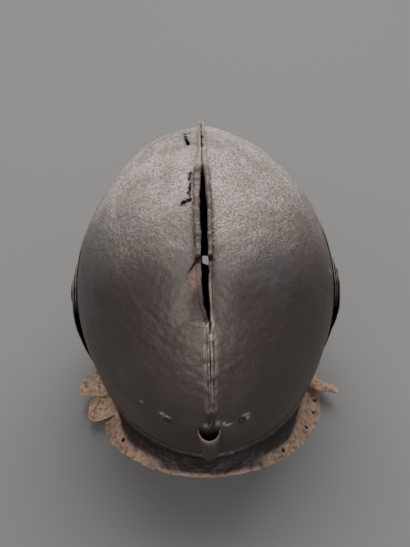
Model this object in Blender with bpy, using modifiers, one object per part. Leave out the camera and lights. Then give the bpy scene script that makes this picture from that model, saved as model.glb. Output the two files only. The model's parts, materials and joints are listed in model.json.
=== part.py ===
"""Armet: a two-part skull with a low split comb, three front plates on one pair of pivots, a neck flange.

Metres, +Z up, the face towards +Y. Every piece is modelled about the middle of the pivot axis,
which runs along X, and is then stood on the surface with the origin under the middle of its box.
"""
import math

import bmesh
import bpy
import numpy as np
from mathutils import Matrix, Vector

# Skull: a form turned about the pivot axis, with a fuller neck
PIVOT_HEIGHT = 0.119
SKULL_HALF_WIDTH = 0.099
SKULL_RADIUS = 0.126
SKULL_FULLNESS = 1.85
SKULL_WALL = 0.0018
NECK_HEIGHT = 0.024
NECK_SPREAD = 0.32
NECK_SPREAD_FROM, NECK_SPREAD_PEAK, NECK_SPREAD_TO = 224.0, 259.0, 300.0

# Comb: two upright walls, one on each half of the skull
COMB_HEIGHT = 0.006
COMB_WIDTH = 0.0105
SPLIT_WIDTH = 0.0053
COMB_TABLE = (
    # angle in degrees, height and width on the left, height and width on the right, and split,
    # as shares of the three sizes above
    (0, 0.08, 0.32, 0.08, 0.32, 0.0),
    (36, 0.08, 0.32, 0.08, 0.32, 0.0),
    (58, 0.60, 0.42, 0.60, 0.42, 0.0),
    (78, 0.72, 0.50, 0.72, 0.50, 0.0),
    (92, 0.88, 0.68, 0.88, 0.66, 0.02),
    (98, 1.00, 1.12, 1.00, 0.86, 0.40),
    (105, 1.00, 1.24, 1.00, 0.92, 0.66),
    (113, 1.00, 1.28, 1.00, 0.94, 0.90),
    (125, 1.00, 1.26, 1.00, 0.94, 1.12),
    (131, 0.50, 1.16, 0.92, 0.90, 1.06),
    (139, 0.20, 1.00, 0.82, 0.84, 0.88),
    (146, 0.25, 0.78, 0.75, 0.76, 0.50),
    (151, 0.60, 0.58, 0.70, 0.66, 0.06),
    (158, 0.52, 0.50, 0.55, 0.56, 0.0),
    (186, 0.40, 0.42, 0.42, 0.46, 0.0),
    (192, 0.10, 0.32, 0.10, 0.32, 0.0),
    (360, 0.08, 0.32, 0.08, 0.32, 0.0),
)

# Front plates, each the same form one size larger, on the same pivots
PLATE_WALL = 0.0008
PLATE_GAP = 0.0004
BROW_GAP = 0.0015
KEEL_HEIGHT = 0.008
KEEL_HALF_WIDTH = 0.024
KEEL_SLOPE = 1.35
VISOR_FULLNESS = 2.0
VENTAIL_FULLNESS = 2.15
BEVOR_FULLNESS = 2.45
VISOR_ANGLES = (-7.0, 23.0)
VENTAIL_ANGLES = (-27.0, -3.0)
BEVOR_TOP_ANGLE = -22.0
HUB_RADIUS = 0.015
VENTAIL_LOBE_DROP = 0.001
BEVOR_LOBE = 1.15
LEFT_LOBE_DROP = 0.010
LEFT_CHEEK_BACK, RIGHT_CHEEK_BACK = 0.010, 0.001

# Openings of the front plates
SIGHT_ANGLE = 11.0
SIGHT_HEIGHT = 0.008
SIGHT_FROM, SIGHT_TO = 0.014, 0.058
BREATH_ANGLE = -15.0
BREATH_HEIGHT = 0.022
BREATH_WIDTH = 0.0045
BREATH_FIRST, BREATH_PITCH, BREATH_COUNT = 0.022, 0.011, 4
CHIN_HOLE = 0.009
CHIN_HOLE_ANGLE = -29.6

# Pivots and rivets
PIVOT_RADIUS = 0.003
PIVOT_HEAD_RADIUS = 0.0075
PIVOT_HEAD_HEIGHT = 0.0010
FIT_GAP = 0.0003
RIVET_RADIUS = 0.0028
RIVET_HEIGHT = 0.0010
RIVET_ANGLE = 188.0
RIVET_LEFT, RIVET_RIGHT = -0.029, 0.0235

# Neck plates
GORGET_WALL = 0.0012
COLLAR_HEIGHT = 0.006
COLLAR_GAP = 0.0008
RIM_ALLOWANCE = 0.12
REAR_RIM_SIDE = 0.0955
REAR_RIM_BACK = 0.089
FRONT_RIM_SIDE = 0.108
FRONT_RIM_FRONT = 0.118
REAR_TABLE = (
    # azimuth from the back in degrees, positive to the right; reach from neck to rim; lift of the rim
    (-92, 0.20, 0.45),
    (-86, 0.30, 0.50),
    (-84.5, 0.92, 0.58),
    (-80, 1.20, 0.55),
    (-76, 1.36, 0.50),
    (-70, 1.50, 0.40),
    (-67.5, 1.46, 0.40),
    (-64, 0.97, 0.00),
    (-57, 0.99, 0.00),
    (-50, 1.02, 0.00),
    (-35, 1.05, 0.00),
    (-15, 0.91, 0.00),
    (0, 0.92, 0.00),
    (15, 0.96, 0.00),
    (30, 1.00, 0.00),
    (48, 1.07, 0.00),
    (70, 1.04, 0.00),
    (86, 0.98, 0.00),
    (92, 0.86, 0.10),
)
FRONT_TABLE = (
    # azimuth from the front, reach from neck to rim, lift of the rim as a share of the neck's height
    (-98, 0.90, 0.86),
    (-94, 0.96, 0.82),
    (-90, 0.95, 0.77),
    (-86, 0.80, 0.70),
    (-82, 0.64, 0.63),
    (-78, 0.57, 0.54),
    (-70, 0.76, 0.34),
    (-60, 0.88, 0.14),
    (-45, 0.95, 0.00),
    (0, 1.00, 0.00),
    (45, 0.95, 0.00),
    (60, 0.88, 0.00),
    (70, 0.74, 0.00),
    (78, 0.46, 0.06),
    (82, 0.48, 0.18),
    (86, 0.60, 0.32),
    (90, 0.76, 0.44),
    (94, 0.97, 0.56),
    (98, 1.02, 0.58),
)
TEAR_AZIMUTH = -66.0
TEAR_WIDTH = 0.0022
TEAR_LENGTH = 0.016
CUT_OVERRUN = 0.004
RIM_HOLE_RADIUS = 0.0016
RIM_HOLES = (
    # azimuth from the back, distance in from the rim
    (82.0, 0.0050),
    (73.0, 0.0045),
    (62.0, 0.0040),
    (42.0, 0.0040),
    (-53.0, 0.0055),
)
NOTCH_AZIMUTH = -28.0
NOTCH_WIDTH = 0.005
NOTCH_OUTWARD = 0.0015

# Plume socket on the nape
SOCKET_FROM, SOCKET_TO = 189.5, 215.0
SOCKET_TOP_WIDTH = 0.0165
SOCKET_END_WIDTH = 0.0108
SOCKET_TOP_DEPTH = 0.0095
SOCKET_END_DEPTH = 0.0055
SOCKET_WALL = 0.0010
SOCKET_GAP = 0.0009

# Holes rusted through the left half, beside the comb
RUST_HOLES = (
    # angle along the skull, distance from the middle, length along, width across
    (76.5, 0.0128, 0.0120, 0.0014),
    (80.6, 0.0116, 0.0040, 0.0030),
    (71.2, 0.0135, 0.0016, 0.0040),
    (99.3, 0.0084, 0.0050, 0.0018),
    (105.6, 0.0086, 0.0090, 0.0014),
    (109.6, 0.0118, 0.0024, 0.0066),
)

# Mesh fineness
TURN_STEPS = 45
SIDE_STEPS = 9
RIVET_SIDES = 8
PIVOT_SIDES = 16
OUTSIDE = 0.20


def material(name, colour, roughness, metallic):
    """A Principled material for one piece."""
    made = bpy.data.materials.new(name)
    made.use_nodes = True
    shader = made.node_tree.nodes["Principled BSDF"]
    shader.inputs["Base Color"].default_value = (*colour, 1.0)
    shader.inputs["Roughness"].default_value = roughness
    shader.inputs["Metallic"].default_value = metallic
    return made


def clear_scene():
    """Removes every object of the open scene."""
    for found in list(bpy.data.objects):
        bpy.data.objects.remove(found, do_unlink=True)


def add_object(name, mesh, collection):
    """An object of that mesh in the collection."""
    made = bpy.data.objects.new(name, mesh)
    collection.objects.link(made)
    return made


def outward(mesh):
    """Merges doubles and turns every face of a closed mesh outwards."""
    work = bmesh.new()
    work.from_mesh(mesh)
    bmesh.ops.remove_doubles(work, verts=work.verts, dist=1e-6)
    bmesh.ops.recalc_face_normals(work, faces=work.faces)
    work.to_mesh(mesh)
    work.free()
    return mesh


def mesh_from(name, points, faces):
    """A mesh from rows of points and faces."""
    mesh = bpy.data.meshes.new(name)
    mesh.from_pydata([tuple(point) for point in points], [], faces)
    return mesh


def evaluated(source):
    """A mesh of what the object's modifiers make. The object is removed."""
    bpy.context.view_layer.update()
    graph = bpy.context.evaluated_depsgraph_get()
    mesh = bpy.data.meshes.new_from_object(source.evaluated_get(graph))
    bpy.data.objects.remove(source, do_unlink=True)
    return mesh


def as_cutter(name, mesh, cutters):
    """A hidden cutting object."""
    made = add_object(name, mesh, cutters)
    made.hide_render = True
    made.display_type = "WIRE"
    return made


def boolean(piece, cutter, operation="DIFFERENCE"):
    """Cuts the piece with the cutter, or keeps what they share."""
    step = piece.modifiers.new(cutter.name, "BOOLEAN")
    step.operation = operation
    step.object = cutter
    step.solver = "EXACT"
    return step


def smooth_step(value):
    """0 up to 0 and 1 from 1, with a smooth rise between them."""
    share = np.clip(value, 0.0, 1.0)
    return share * share * (3.0 - 2.0 * share)


def skull_radius(angle):
    """The skull's radius about the pivot axis: round, and fuller below the pivots."""
    turn = np.mod(angle, 360.0)
    rise = smooth_step((turn - NECK_SPREAD_FROM) / (NECK_SPREAD_PEAK - NECK_SPREAD_FROM))
    fall = smooth_step((NECK_SPREAD_TO - turn) / (NECK_SPREAD_TO - NECK_SPREAD_PEAK))
    return SKULL_RADIUS * (1.0 + NECK_SPREAD * np.minimum(rise, fall))


def comb_size(angle, side):
    """The comb's height, half width and half split at an angle; side is -1 on the left, 1 on the right."""
    table = np.array(COMB_TABLE)
    turn = np.mod(angle, 360.0)
    column = 1 if side < 0 else 3
    height = COMB_HEIGHT * np.interp(turn, table[:, 0], table[:, column])
    half_width = COMB_WIDTH / 2 * np.interp(turn, table[:, 0], table[:, column + 1])
    half_split = FIT_GAP / 2 + SPLIT_WIDTH / 2 * np.interp(turn, table[:, 0], table[:, 5])
    return height, half_width, half_split


def side_curve(half_width, radius, fullness, start_x, steps):
    """Points (x, distance from the axis) of a superellipse, from start_x out to just short of the pivot."""
    first = math.asin((start_x / half_width) ** (fullness / 2))
    turn = np.linspace(first, math.pi / 2, steps + 1)[:-1]
    power = 2 / fullness
    return np.stack([half_width * np.sin(turn) ** power, radius * np.cos(turn) ** power], 1)


def skull_section(angle, side):
    """One section of a half: in from the pivot, up and over the comb wall, and back inside."""
    radius = float(skull_radius(angle))
    height, half_width, half_split = (float(size) for size in comb_size(angle, side))
    outside = side_curve(SKULL_HALF_WIDTH, radius, SKULL_FULLNESS, half_width, SIDE_STEPS)[::-1]
    inside = side_curve(
        SKULL_HALF_WIDTH - SKULL_WALL, radius - SKULL_WALL, SKULL_FULLNESS, half_split, SIDE_STEPS
    )
    wall = half_width - half_split
    foot = outside[-1, 1]
    top = [
        (half_width - 0.06 * wall, foot + 0.70 * height),
        (half_width - 0.30 * wall, foot + height),
        (half_split + 0.20 * wall, foot + height),
        (half_split, foot + 0.75 * height),
    ]
    return np.concatenate([outside, np.array(top), inside])


def skull_half(name, side, collection):
    """Closed shell of one half, all the way round the pivot, before its outline is cut."""
    angles = np.linspace(0.0, 360.0, TURN_STEPS, endpoint=False)
    sections = np.stack([skull_section(angle, side) for angle in angles])
    turn = np.radians(angles)[:, None]
    x = side * sections[:, :, 0]
    y = sections[:, :, 1] * np.cos(turn)
    z = sections[:, :, 1] * np.sin(turn)
    points = np.stack([x, y, z], -1).reshape(-1, 3).tolist()
    count = sections.shape[1]
    faces = []
    for row in range(TURN_STEPS):
        after = (row + 1) % TURN_STEPS
        for column in range(count - 1):
            near, far = row * count + column, after * count + column
            faces.append((near, near + 1, far + 1, far))
    outer_pole = len(points)
    inner_pole = outer_pole + 1
    points.append((side * SKULL_HALF_WIDTH, 0.0, 0.0))
    points.append((side * (SKULL_HALF_WIDTH - SKULL_WALL), 0.0, 0.0))
    for row in range(TURN_STEPS):
        after = (row + 1) % TURN_STEPS
        faces.append((outer_pole, row * count, after * count))
        faces.append((inner_pole, after * count + count - 1, row * count + count - 1))
    return add_object(name, outward(mesh_from(name, points, faces)), collection)


def arc(centre, radius, first, last, steps):
    """Points (y, z) along an arc, angles in degrees."""
    turn = np.radians(np.linspace(first, last, steps + 1))
    return [(centre[0] + radius * math.cos(t), centre[1] + radius * math.sin(t)) for t in turn]


def polar(radius, angle):
    """A point (y, z) at that distance and angle from the pivot axis."""
    return (radius * math.cos(math.radians(angle)), radius * math.sin(math.radians(angle)))


def side_prism(name, outlines, cutters):
    """A prism along X whose outline on the left, at -X, passes into the one on the right."""
    left, right = outlines
    count = len(left)
    points = [(-OUTSIDE, y, z) for y, z in left] + [(OUTSIDE, y, z) for y, z in right]
    faces = [tuple(range(count)), tuple(range(2 * count - 1, count - 1, -1))]
    for first in range(count):
        after = (first + 1) % count
        faces.append((first, after, count + after, count + first))
    return as_cutter(name, outward(mesh_from(name, points, faces)), cutters)


def skull_outline():
    """Side view of the skull: face edge from the brow down to the neck, then behind and above."""
    neck = NECK_HEIGHT - PIVOT_HEIGHT
    brow = polar(SKULL_RADIUS * 1.05, 17.0)
    edge = [
        brow,
        polar(SKULL_RADIUS * 0.72, 19.0),
        polar(SKULL_RADIUS * 0.42, 22.0),
        polar(SKULL_RADIUS * 0.26, 24.0),
        (0.200 * SKULL_RADIUS, 0.0),
        (0.175 * SKULL_RADIUS, 0.25 * neck),
        (0.110 * SKULL_RADIUS, 0.60 * neck),
        (0.065 * SKULL_RADIUS, neck),
    ]
    return edge + [(-OUTSIDE, neck), (-OUTSIDE, OUTSIDE), (OUTSIDE, OUTSIDE), (OUTSIDE, brow[1] * 1.9)]


def fan_outline(hub_radius, hub_drop, bottom_angle, top_angle):
    """Side view of a front plate: a round end behind the pivot, widening to the face."""
    hub = arc((0.0, -hub_drop), hub_radius, 100.0 + top_angle, 260.0 + bottom_angle, 12)
    return hub + [polar(OUTSIDE, bottom_angle), polar(OUTSIDE, top_angle)]


def bevor_outline(hub_drop, cheek_back):
    """Side view of the bevor: a lobe behind the pivot, a cheek down to the neck, then the chin."""
    neck = NECK_HEIGHT - PIVOT_HEIGHT + FIT_GAP
    hub = arc((0.0, -hub_drop), HUB_RADIUS * BEVOR_LOBE, 80.0, 205.0, 12)
    cheek = [(-cheek_back, 0.45 * neck), (-0.7 * cheek_back, 0.75 * neck), (-0.6 * cheek_back, neck)]
    corner = polar(4 * HUB_RADIUS, BEVOR_TOP_ANGLE + 4.0)
    return hub + cheek + [(OUTSIDE, neck), polar(OUTSIDE, BEVOR_TOP_ANGLE), corner]


def plate_sizes(order):
    """Inner half width and radius of a front plate: order 0 lies on the skull, each next one outside."""
    step = PLATE_WALL + PLATE_GAP
    return SKULL_HALF_WIDTH + PLATE_GAP + order * step, SKULL_RADIUS + BROW_GAP + order * step


def keel(x):
    """Height of the ridge along the middle of a front plate."""
    share = np.clip(1.0 - np.abs(x) / KEEL_HALF_WIDTH, 0.0, 1.0)
    return KEEL_HEIGHT * share * (0.55 + 0.45 * share)


def plate_curve(half_width, radius, fullness, hole):
    """Half section of a plate face from the middle out to the pivot hole."""
    last = math.acos((hole / radius) ** (fullness / 2))
    turn = np.concatenate([[0.0, 0.10, 0.22, 0.34], np.linspace(0.34, last, SIDE_STEPS)[1:]])
    x = half_width * np.sin(turn) ** (2 / fullness)
    return np.stack([x, radius * np.cos(turn) ** (2 / fullness) + keel(x)], 1)


def turned_plate(name, order, fullness, collection):
    """A plate turned about the pivot axis with a Screw modifier, open at the two pivot holes."""
    half_width, radius = plate_sizes(order)
    hole = PIVOT_RADIUS + FIT_GAP
    inside = plate_curve(half_width, radius, fullness, hole)
    outside = plate_curve(half_width + PLATE_WALL, radius + PLATE_WALL, fullness, hole)
    mirror = np.array([-1.0, 1.0])
    loop = np.concatenate([outside[::-1], outside[1:] * mirror, inside[::-1] * mirror, inside[1:]])
    count = len(loop)
    profile = bpy.data.meshes.new(name + "_profile")
    edges = [(first, (first + 1) % count) for first in range(count)]
    profile.from_pydata([(x, rho, 0.0) for x, rho in loop], edges, [])
    turned = add_object(name + "_profile", profile, collection)
    screw = turned.modifiers.new("turn", "SCREW")
    screw.axis = "X"
    screw.angle = 2 * math.pi
    screw.steps = screw.render_steps = TURN_STEPS
    screw.use_merge_vertices = True
    screw.merge_threshold = 0.00005
    return add_object(name, outward(evaluated(turned)), collection)


def cube_mesh(name, size, place):
    """A box mesh of that size, moved by the matrix place."""
    mesh = bpy.data.meshes.new(name)
    work = bmesh.new()
    bmesh.ops.create_cube(work, size=1.0, matrix=place @ Matrix.Diagonal((*size, 1.0)))
    work.to_mesh(mesh)
    work.free()
    return mesh


def joined(name, meshes):
    """One mesh of several separate closed ones."""
    work = bmesh.new()
    for mesh in meshes:
        work.from_mesh(mesh)
        bpy.data.meshes.remove(mesh)
    mesh = bpy.data.meshes.new(name)
    work.to_mesh(mesh)
    work.free()
    return outward(mesh)


def front_box(x, angle, width, height):
    """A box along Y that cuts a front plate at x and at that angle above the pivots."""
    middle = (SKULL_RADIUS + 2 * KEEL_HEIGHT) * math.sin(math.radians(angle))
    place = Matrix.Translation((x, 0.6 * OUTSIDE, middle))
    return cube_mesh("front_box", (width, OUTSIDE, height), place)


def make_visor(collection, cutters):
    """The visor, with a sight for each eye."""
    visor = turned_plate("visor", 0, VISOR_FULLNESS, collection)
    outline = fan_outline(HUB_RADIUS, 0.0, *VISOR_ANGLES)
    boolean(visor, side_prism("visor_outline", (outline, outline), cutters), "INTERSECT")
    middle = (SIGHT_FROM + SIGHT_TO) / 2
    sights = [
        front_box(side * middle, SIGHT_ANGLE, SIGHT_TO - SIGHT_FROM, SIGHT_HEIGHT) for side in (-1, 1)
    ]
    boolean(visor, as_cutter("visor_sights", joined("visor_sights", sights), cutters))
    return visor


def make_ventail(collection, cutters):
    """The upper bevor, with upright breath slots."""
    ventail = turned_plate("ventail", 1, VENTAIL_FULLNESS, collection)
    outline = fan_outline(HUB_RADIUS, VENTAIL_LOBE_DROP, *VENTAIL_ANGLES)
    boolean(ventail, side_prism("ventail_outline", (outline, outline), cutters), "INTERSECT")
    slots = [
        front_box(side * (BREATH_FIRST + BREATH_PITCH * step), BREATH_ANGLE, BREATH_WIDTH, BREATH_HEIGHT)
        for side in (-1, 1)
        for step in range(BREATH_COUNT)
    ]
    boolean(ventail, as_cutter("ventail_slots", joined("ventail_slots", slots), cutters))
    return ventail


def make_bevor(collection, cutters):
    """The chin plate, whose left lobe hangs lower than the right one, as it is bent."""
    bevor = turned_plate("bevor", 2, BEVOR_FULLNESS, collection)
    outlines = (bevor_outline(LEFT_LOBE_DROP, LEFT_CHEEK_BACK), bevor_outline(0.0, RIGHT_CHEEK_BACK))
    boolean(bevor, side_prism("bevor_outline", outlines, cutters), "INTERSECT")
    hole = front_box(0.0, CHIN_HOLE_ANGLE, CHIN_HOLE, CHIN_HOLE)
    boolean(bevor, as_cutter("bevor_chin_hole", hole, cutters))
    return bevor


def neck_reach(azimuth, height, half_width, radius_at, fullness, facing):
    """Distance from the upright axis through the pivots to a turned form, at that azimuth and height.

    The distance is found by halving an interval until the form's own equation holds.
    """
    sine, cosine = np.sin(np.radians(azimuth)), facing * np.cos(np.radians(azimuth))
    low, high = np.full_like(sine, 0.2 * half_width), np.full_like(sine, 1.6 * half_width)
    for _ in range(40):
        middle = (low + high) / 2
        y = middle * cosine
        angle = np.degrees(np.arctan2(height, y))
        reach = np.hypot(y, height)
        value = (np.abs(middle * sine) / half_width) ** fullness + (reach / radius_at(angle)) ** fullness
        low = np.where(value < 1.0, middle, low)
        high = np.where(value < 1.0, high, middle)
    return (low + high) / 2


def flared_plate(name, azimuths, facing, neck, rim_radius, table, collection):
    """A neck plate: a short collar on the neck form, then a flare out to its rim.

    neck gives the collar's distance at an azimuth and height, rim_radius the full rim's distance,
    and the table each azimuth's reach from neck to rim and the rim's lift.
    """
    columns = np.array(table)
    reach = np.interp(azimuths, columns[:, 0], columns[:, 1])
    lift = np.interp(azimuths, columns[:, 0], columns[:, 2]) * NECK_HEIGHT
    base = NECK_HEIGHT - PIVOT_HEIGHT
    collar = [neck(azimuths, base + COLLAR_HEIGHT * share) for share in (1.0, 0.5, 0.0)]
    heights = [np.full_like(azimuths, base + COLLAR_HEIGHT * share) for share in (1.0, 0.5, 0.0)]
    rows = list(collar)
    rim = collar[-1] + (rim_radius(azimuths) - collar[-1]) * reach
    foot = lift - PIVOT_HEIGHT
    for share in (0.18, 0.38, 0.60, 0.82, 1.0 + RIM_ALLOWANCE * (lift < FIT_GAP)):
        rows.append(collar[-1] + (rim - collar[-1]) * share ** 1.7)
        heights.append(base + (foot - base) * share ** 0.8)
    distance, z = np.stack(rows, 1), np.stack(heights, 1)
    x = distance * np.sin(np.radians(azimuths))[:, None]
    y = facing * distance * np.cos(np.radians(azimuths))[:, None]
    points = np.stack([x, y, z], -1).reshape(-1, 3)
    count = distance.shape[1]
    corners = [row * count + column for row in range(len(azimuths) - 1) for column in range(count - 1)]
    faces = [(first, first + 1, first + count + 1, first + count) for first in corners]
    piece = add_object(name, mesh_from(name, points, faces), collection)
    solid = piece.modifiers.new("wall", "SOLIDIFY")
    solid.thickness = GORGET_WALL
    solid.offset = -1.0
    solid.use_even_offset = True
    return piece


def cylinder_mesh(radius, depth, place, sides=12):
    """A cylinder mesh along its own Z, moved by the matrix place."""
    mesh = bpy.data.meshes.new("cylinder")
    work = bmesh.new()
    bmesh.ops.create_cone(
        work, cap_ends=True, segments=sides, radius1=radius, radius2=radius, depth=depth, matrix=place
    )
    work.to_mesh(mesh)
    work.free()
    return mesh


def floor_cutter(cutters):
    """A slab whose top is the surface that the part stands on."""
    place = Matrix.Translation((0.0, 0.0, -PIVOT_HEIGHT - NECK_HEIGHT / 2))
    slab = cube_mesh("floor_cut", (4 * OUTSIDE, 4 * OUTSIDE, NECK_HEIGHT), place)
    return as_cutter("floor_cut", slab, cutters)


def rear_rim(azimuths):
    """The rear rim is half an ellipse."""
    turn = np.radians(azimuths)
    return 1.0 / np.hypot(np.sin(turn) / REAR_RIM_SIDE, np.cos(turn) / REAR_RIM_BACK)


def front_rim(azimuths):
    """The front rim is half an ellipse."""
    turn = np.radians(azimuths)
    return 1.0 / np.hypot(np.sin(turn) / FRONT_RIM_SIDE, np.cos(turn) / FRONT_RIM_FRONT)


def make_gorget_rear(collection, cutters, floor):
    """Rear neck plate: its collar lies inside the skull, and its left end is torn and lifted."""
    inset = SKULL_WALL + COLLAR_GAP
    half_width = SKULL_HALF_WIDTH - inset

    def radius_at(turn):
        return skull_radius(turn) - inset

    def neck(azimuths, height):
        return neck_reach(azimuths, height, half_width, radius_at, SKULL_FULLNESS, -1)

    edges = [row[0] for row in REAR_TABLE if row[0] < -60]
    azimuths = np.unique(np.concatenate([np.linspace(-58.0, 92.0, 26), edges]))
    piece = flared_plate("gorget_rear", azimuths, -1, neck, rear_rim, REAR_TABLE, collection)
    tools = []
    for azimuth, inward in RIM_HOLES:
        place = around(azimuth, float(rear_rim(np.array(azimuth))) - inward, -1)
        tools.append(cylinder_mesh(RIM_HOLE_RADIUS, 2 * NECK_HEIGHT, place))
    boolean(piece, as_cutter("rim_holes", joined("rim_holes", tools), cutters))
    tear = around(TEAR_AZIMUTH, REAR_RIM_SIDE - TEAR_LENGTH / 2 + CUT_OVERRUN, -1)
    tear_mesh = cube_mesh("tear", (2 * TEAR_WIDTH, TEAR_LENGTH, 2 * NECK_HEIGHT), tear)
    boolean(piece, as_cutter("rim_tear", tear_mesh, cutters))
    notch = around(NOTCH_AZIMUTH, float(rear_rim(np.array(NOTCH_AZIMUTH))) + NOTCH_OUTWARD, -1)
    notch_mesh = cylinder_mesh(NOTCH_WIDTH / 2, NECK_HEIGHT, notch, 3)
    boolean(piece, as_cutter("rim_notch", notch_mesh, cutters))
    boolean(piece, floor)
    return piece


def around(azimuth, distance, facing):
    """Placement at that azimuth and distance on the surface, its own Y pointing outwards."""
    turn = math.radians(azimuth)
    x, y = distance * math.sin(turn), facing * distance * math.cos(turn)
    spin = math.atan2(-x, y)
    return Matrix.Translation((x, y, -PIVOT_HEIGHT)) @ Matrix.Rotation(spin, 4, "Z")


def make_gorget_front(collection, floor):
    """Front neck plate: its collar lies outside the bevor, and its ends stand out over the rear one's."""
    outset = PLATE_WALL + COLLAR_GAP
    half_width, radius = (size + outset for size in plate_sizes(2))

    def neck(azimuths, height):
        form = neck_reach(azimuths, height, half_width, lambda turn: radius, BEVOR_FULLNESS, 1)
        ridge = keel(form * np.sin(np.radians(azimuths)))
        return form + KEEL_SLOPE * ridge * np.abs(np.cos(np.radians(azimuths)))

    edges = [row[0] for row in FRONT_TABLE if abs(row[0]) > 75]
    azimuths = np.unique(np.concatenate([np.linspace(-72.0, 72.0, 21), [-3.5, 3.5], edges]))
    piece = flared_plate("gorget_front", azimuths, 1, neck, front_rim, FRONT_TABLE, collection)
    boolean(piece, floor)
    return piece


def make_plume_socket(collection):
    """Tapered half tube along the nape, open at its top and closed down on the skull at its end."""
    along = np.array([0.0, 0.2, 0.4, 0.6, 0.8, 0.93, 1.0])
    across = np.radians(np.linspace(-90.0, 90.0, 9))
    angle = SOCKET_FROM + (SOCKET_TO - SOCKET_FROM) * along
    half = (SOCKET_TOP_WIDTH + (SOCKET_END_WIDTH - SOCKET_TOP_WIDTH) * along) / 2
    depth = SOCKET_TOP_DEPTH + (SOCKET_END_DEPTH - SOCKET_TOP_DEPTH) * along
    depth = depth * np.array([1.0, 1.0, 1.0, 1.0, 1.0, 0.85, 0.35])
    x = half[:, None] * np.sin(across)[None, :]
    skull = SKULL_RADIUS * (1 - (np.abs(x) / SKULL_HALF_WIDTH) ** SKULL_FULLNESS) ** (1 / SKULL_FULLNESS)
    rho = skull + SOCKET_GAP + depth[:, None] * np.cos(across)[None, :]
    turn = np.radians(angle)[:, None]
    points = np.stack([x, rho * np.cos(turn), rho * np.sin(turn)], -1).reshape(-1, 3)
    count = len(across)
    corners = [row * count + column for row in range(len(along) - 1) for column in range(count - 1)]
    faces = [(first, first + count, first + count + 1, first + 1) for first in corners]
    piece = add_object("plume_socket", mesh_from("plume_socket", points, faces), collection)
    solid = piece.modifiers.new("wall", "SOLIDIFY")
    solid.thickness = SOCKET_WALL
    solid.offset = -1.0
    return piece


def make_pivot(name, side, collection):
    """Rivet through the skull and the three plates, with a low round head outside and a small one inside."""
    head_from = plate_sizes(2)[0] + PLATE_WALL + FIT_GAP
    inner = SKULL_HALF_WIDTH - SKULL_WALL - 2 * FIT_GAP
    profile = [
        (inner - PIVOT_HEAD_HEIGHT, 0.0),
        (inner - PIVOT_HEAD_HEIGHT, 1.6 * PIVOT_RADIUS),
        (inner, 1.8 * PIVOT_RADIUS),
        (inner, PIVOT_RADIUS),
        (head_from, PIVOT_RADIUS),
        (head_from, PIVOT_HEAD_RADIUS),
        (head_from + 0.35 * PIVOT_HEAD_HEIGHT, PIVOT_HEAD_RADIUS),
        (head_from + 0.80 * PIVOT_HEAD_HEIGHT, 0.65 * PIVOT_HEAD_RADIUS),
        (head_from + PIVOT_HEAD_HEIGHT, 0.25 * PIVOT_HEAD_RADIUS),
        (head_from + PIVOT_HEAD_HEIGHT, 0.0),
    ]
    mesh = bpy.data.meshes.new(name)
    edges = [(first, first + 1) for first in range(len(profile) - 1)]
    mesh.from_pydata([(side * x, rho, 0.0) for x, rho in profile], edges, [])
    turned = add_object(name + "_profile", mesh, collection)
    screw = turned.modifiers.new("turn", "SCREW")
    screw.axis = "X"
    screw.steps = screw.render_steps = PIVOT_SIDES
    screw.use_merge_vertices = True
    screw.merge_threshold = 0.00005
    return add_object(name, outward(evaluated(turned)), collection)


def make_rivet(name, place, collection):
    """A low round rivet head at that placement, its own Z pointing out of the plate."""
    rings = ((1.0, 0.0), (1.0, 0.25), (0.75, 0.75), (0.35, 1.0))
    profile = [(RIVET_RADIUS * wide, 0.0, RIVET_HEIGHT * high) for wide, high in rings[::-1]]
    profile = [(0.0, 0.0, RIVET_HEIGHT)] + profile + [(0.0, 0.0, 0.0)]
    mesh = bpy.data.meshes.new(name)
    mesh.from_pydata(profile, [(first, first + 1) for first in range(len(profile) - 1)], [])
    turned = add_object(name + "_profile", mesh, collection)
    screw = turned.modifiers.new("turn", "SCREW")
    screw.steps = screw.render_steps = RIVET_SIDES
    screw.use_merge_vertices = True
    screw.merge_threshold = 0.00005
    mesh = outward(evaluated(turned))
    mesh.transform(place)
    return add_object(name, mesh, collection)


def on_skull(angle, x, lift):
    """Placement on the skull's outside at an angle and x, its own Z pointing outwards."""
    radius = float(skull_radius(angle))
    share = (abs(x) / SKULL_HALF_WIDTH) ** SKULL_FULLNESS
    rho = radius * (1 - share) ** (1 / SKULL_FULLNESS)
    across = (abs(x) / SKULL_HALF_WIDTH) ** (SKULL_FULLNESS - 1) / SKULL_HALF_WIDTH
    out = (rho / radius) ** (SKULL_FULLNESS - 1) / radius
    turn = math.radians(angle)
    normal = Vector((math.copysign(across, x), out * math.cos(turn), out * math.sin(turn))).normalized()
    point = Vector((x, rho * math.cos(turn), rho * math.sin(turn))) + normal * lift
    return Matrix.Translation(point) @ normal.to_track_quat("Z", "Y").to_matrix().to_4x4()


def rust_hole_mesh(angle, x, along, across):
    """A ragged six-sided cutter through the left half of the skull."""
    place = on_skull(angle, -x, 0.0)
    heading = Matrix.Rotation(math.radians(angle + 90.0), 4, "X").to_3x3() @ Vector((0.0, 1.0, 0.0))
    normal = place.to_3x3() @ Vector((0.0, 0.0, 1.0))
    side = heading.cross(normal).normalized()
    heading = normal.cross(side).normalized()
    basis = Matrix((side, heading, normal)).transposed().to_4x4()
    basis.translation = place.translation
    return cylinder_mesh(0.5, 4 * SKULL_WALL, basis @ Matrix.Diagonal((across, along, 1.0, 1.0)), 6)


def dress(pieces, made):
    """Gives every piece its material and shades the turned ones smooth."""
    for name, finish in pieces.items():
        made[name].data.materials.clear()
        made[name].data.materials.append(finish)
        made[name].data.shade_smooth()
        made[name].data.set_sharp_from_angle(angle=math.radians(35.0))


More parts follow.
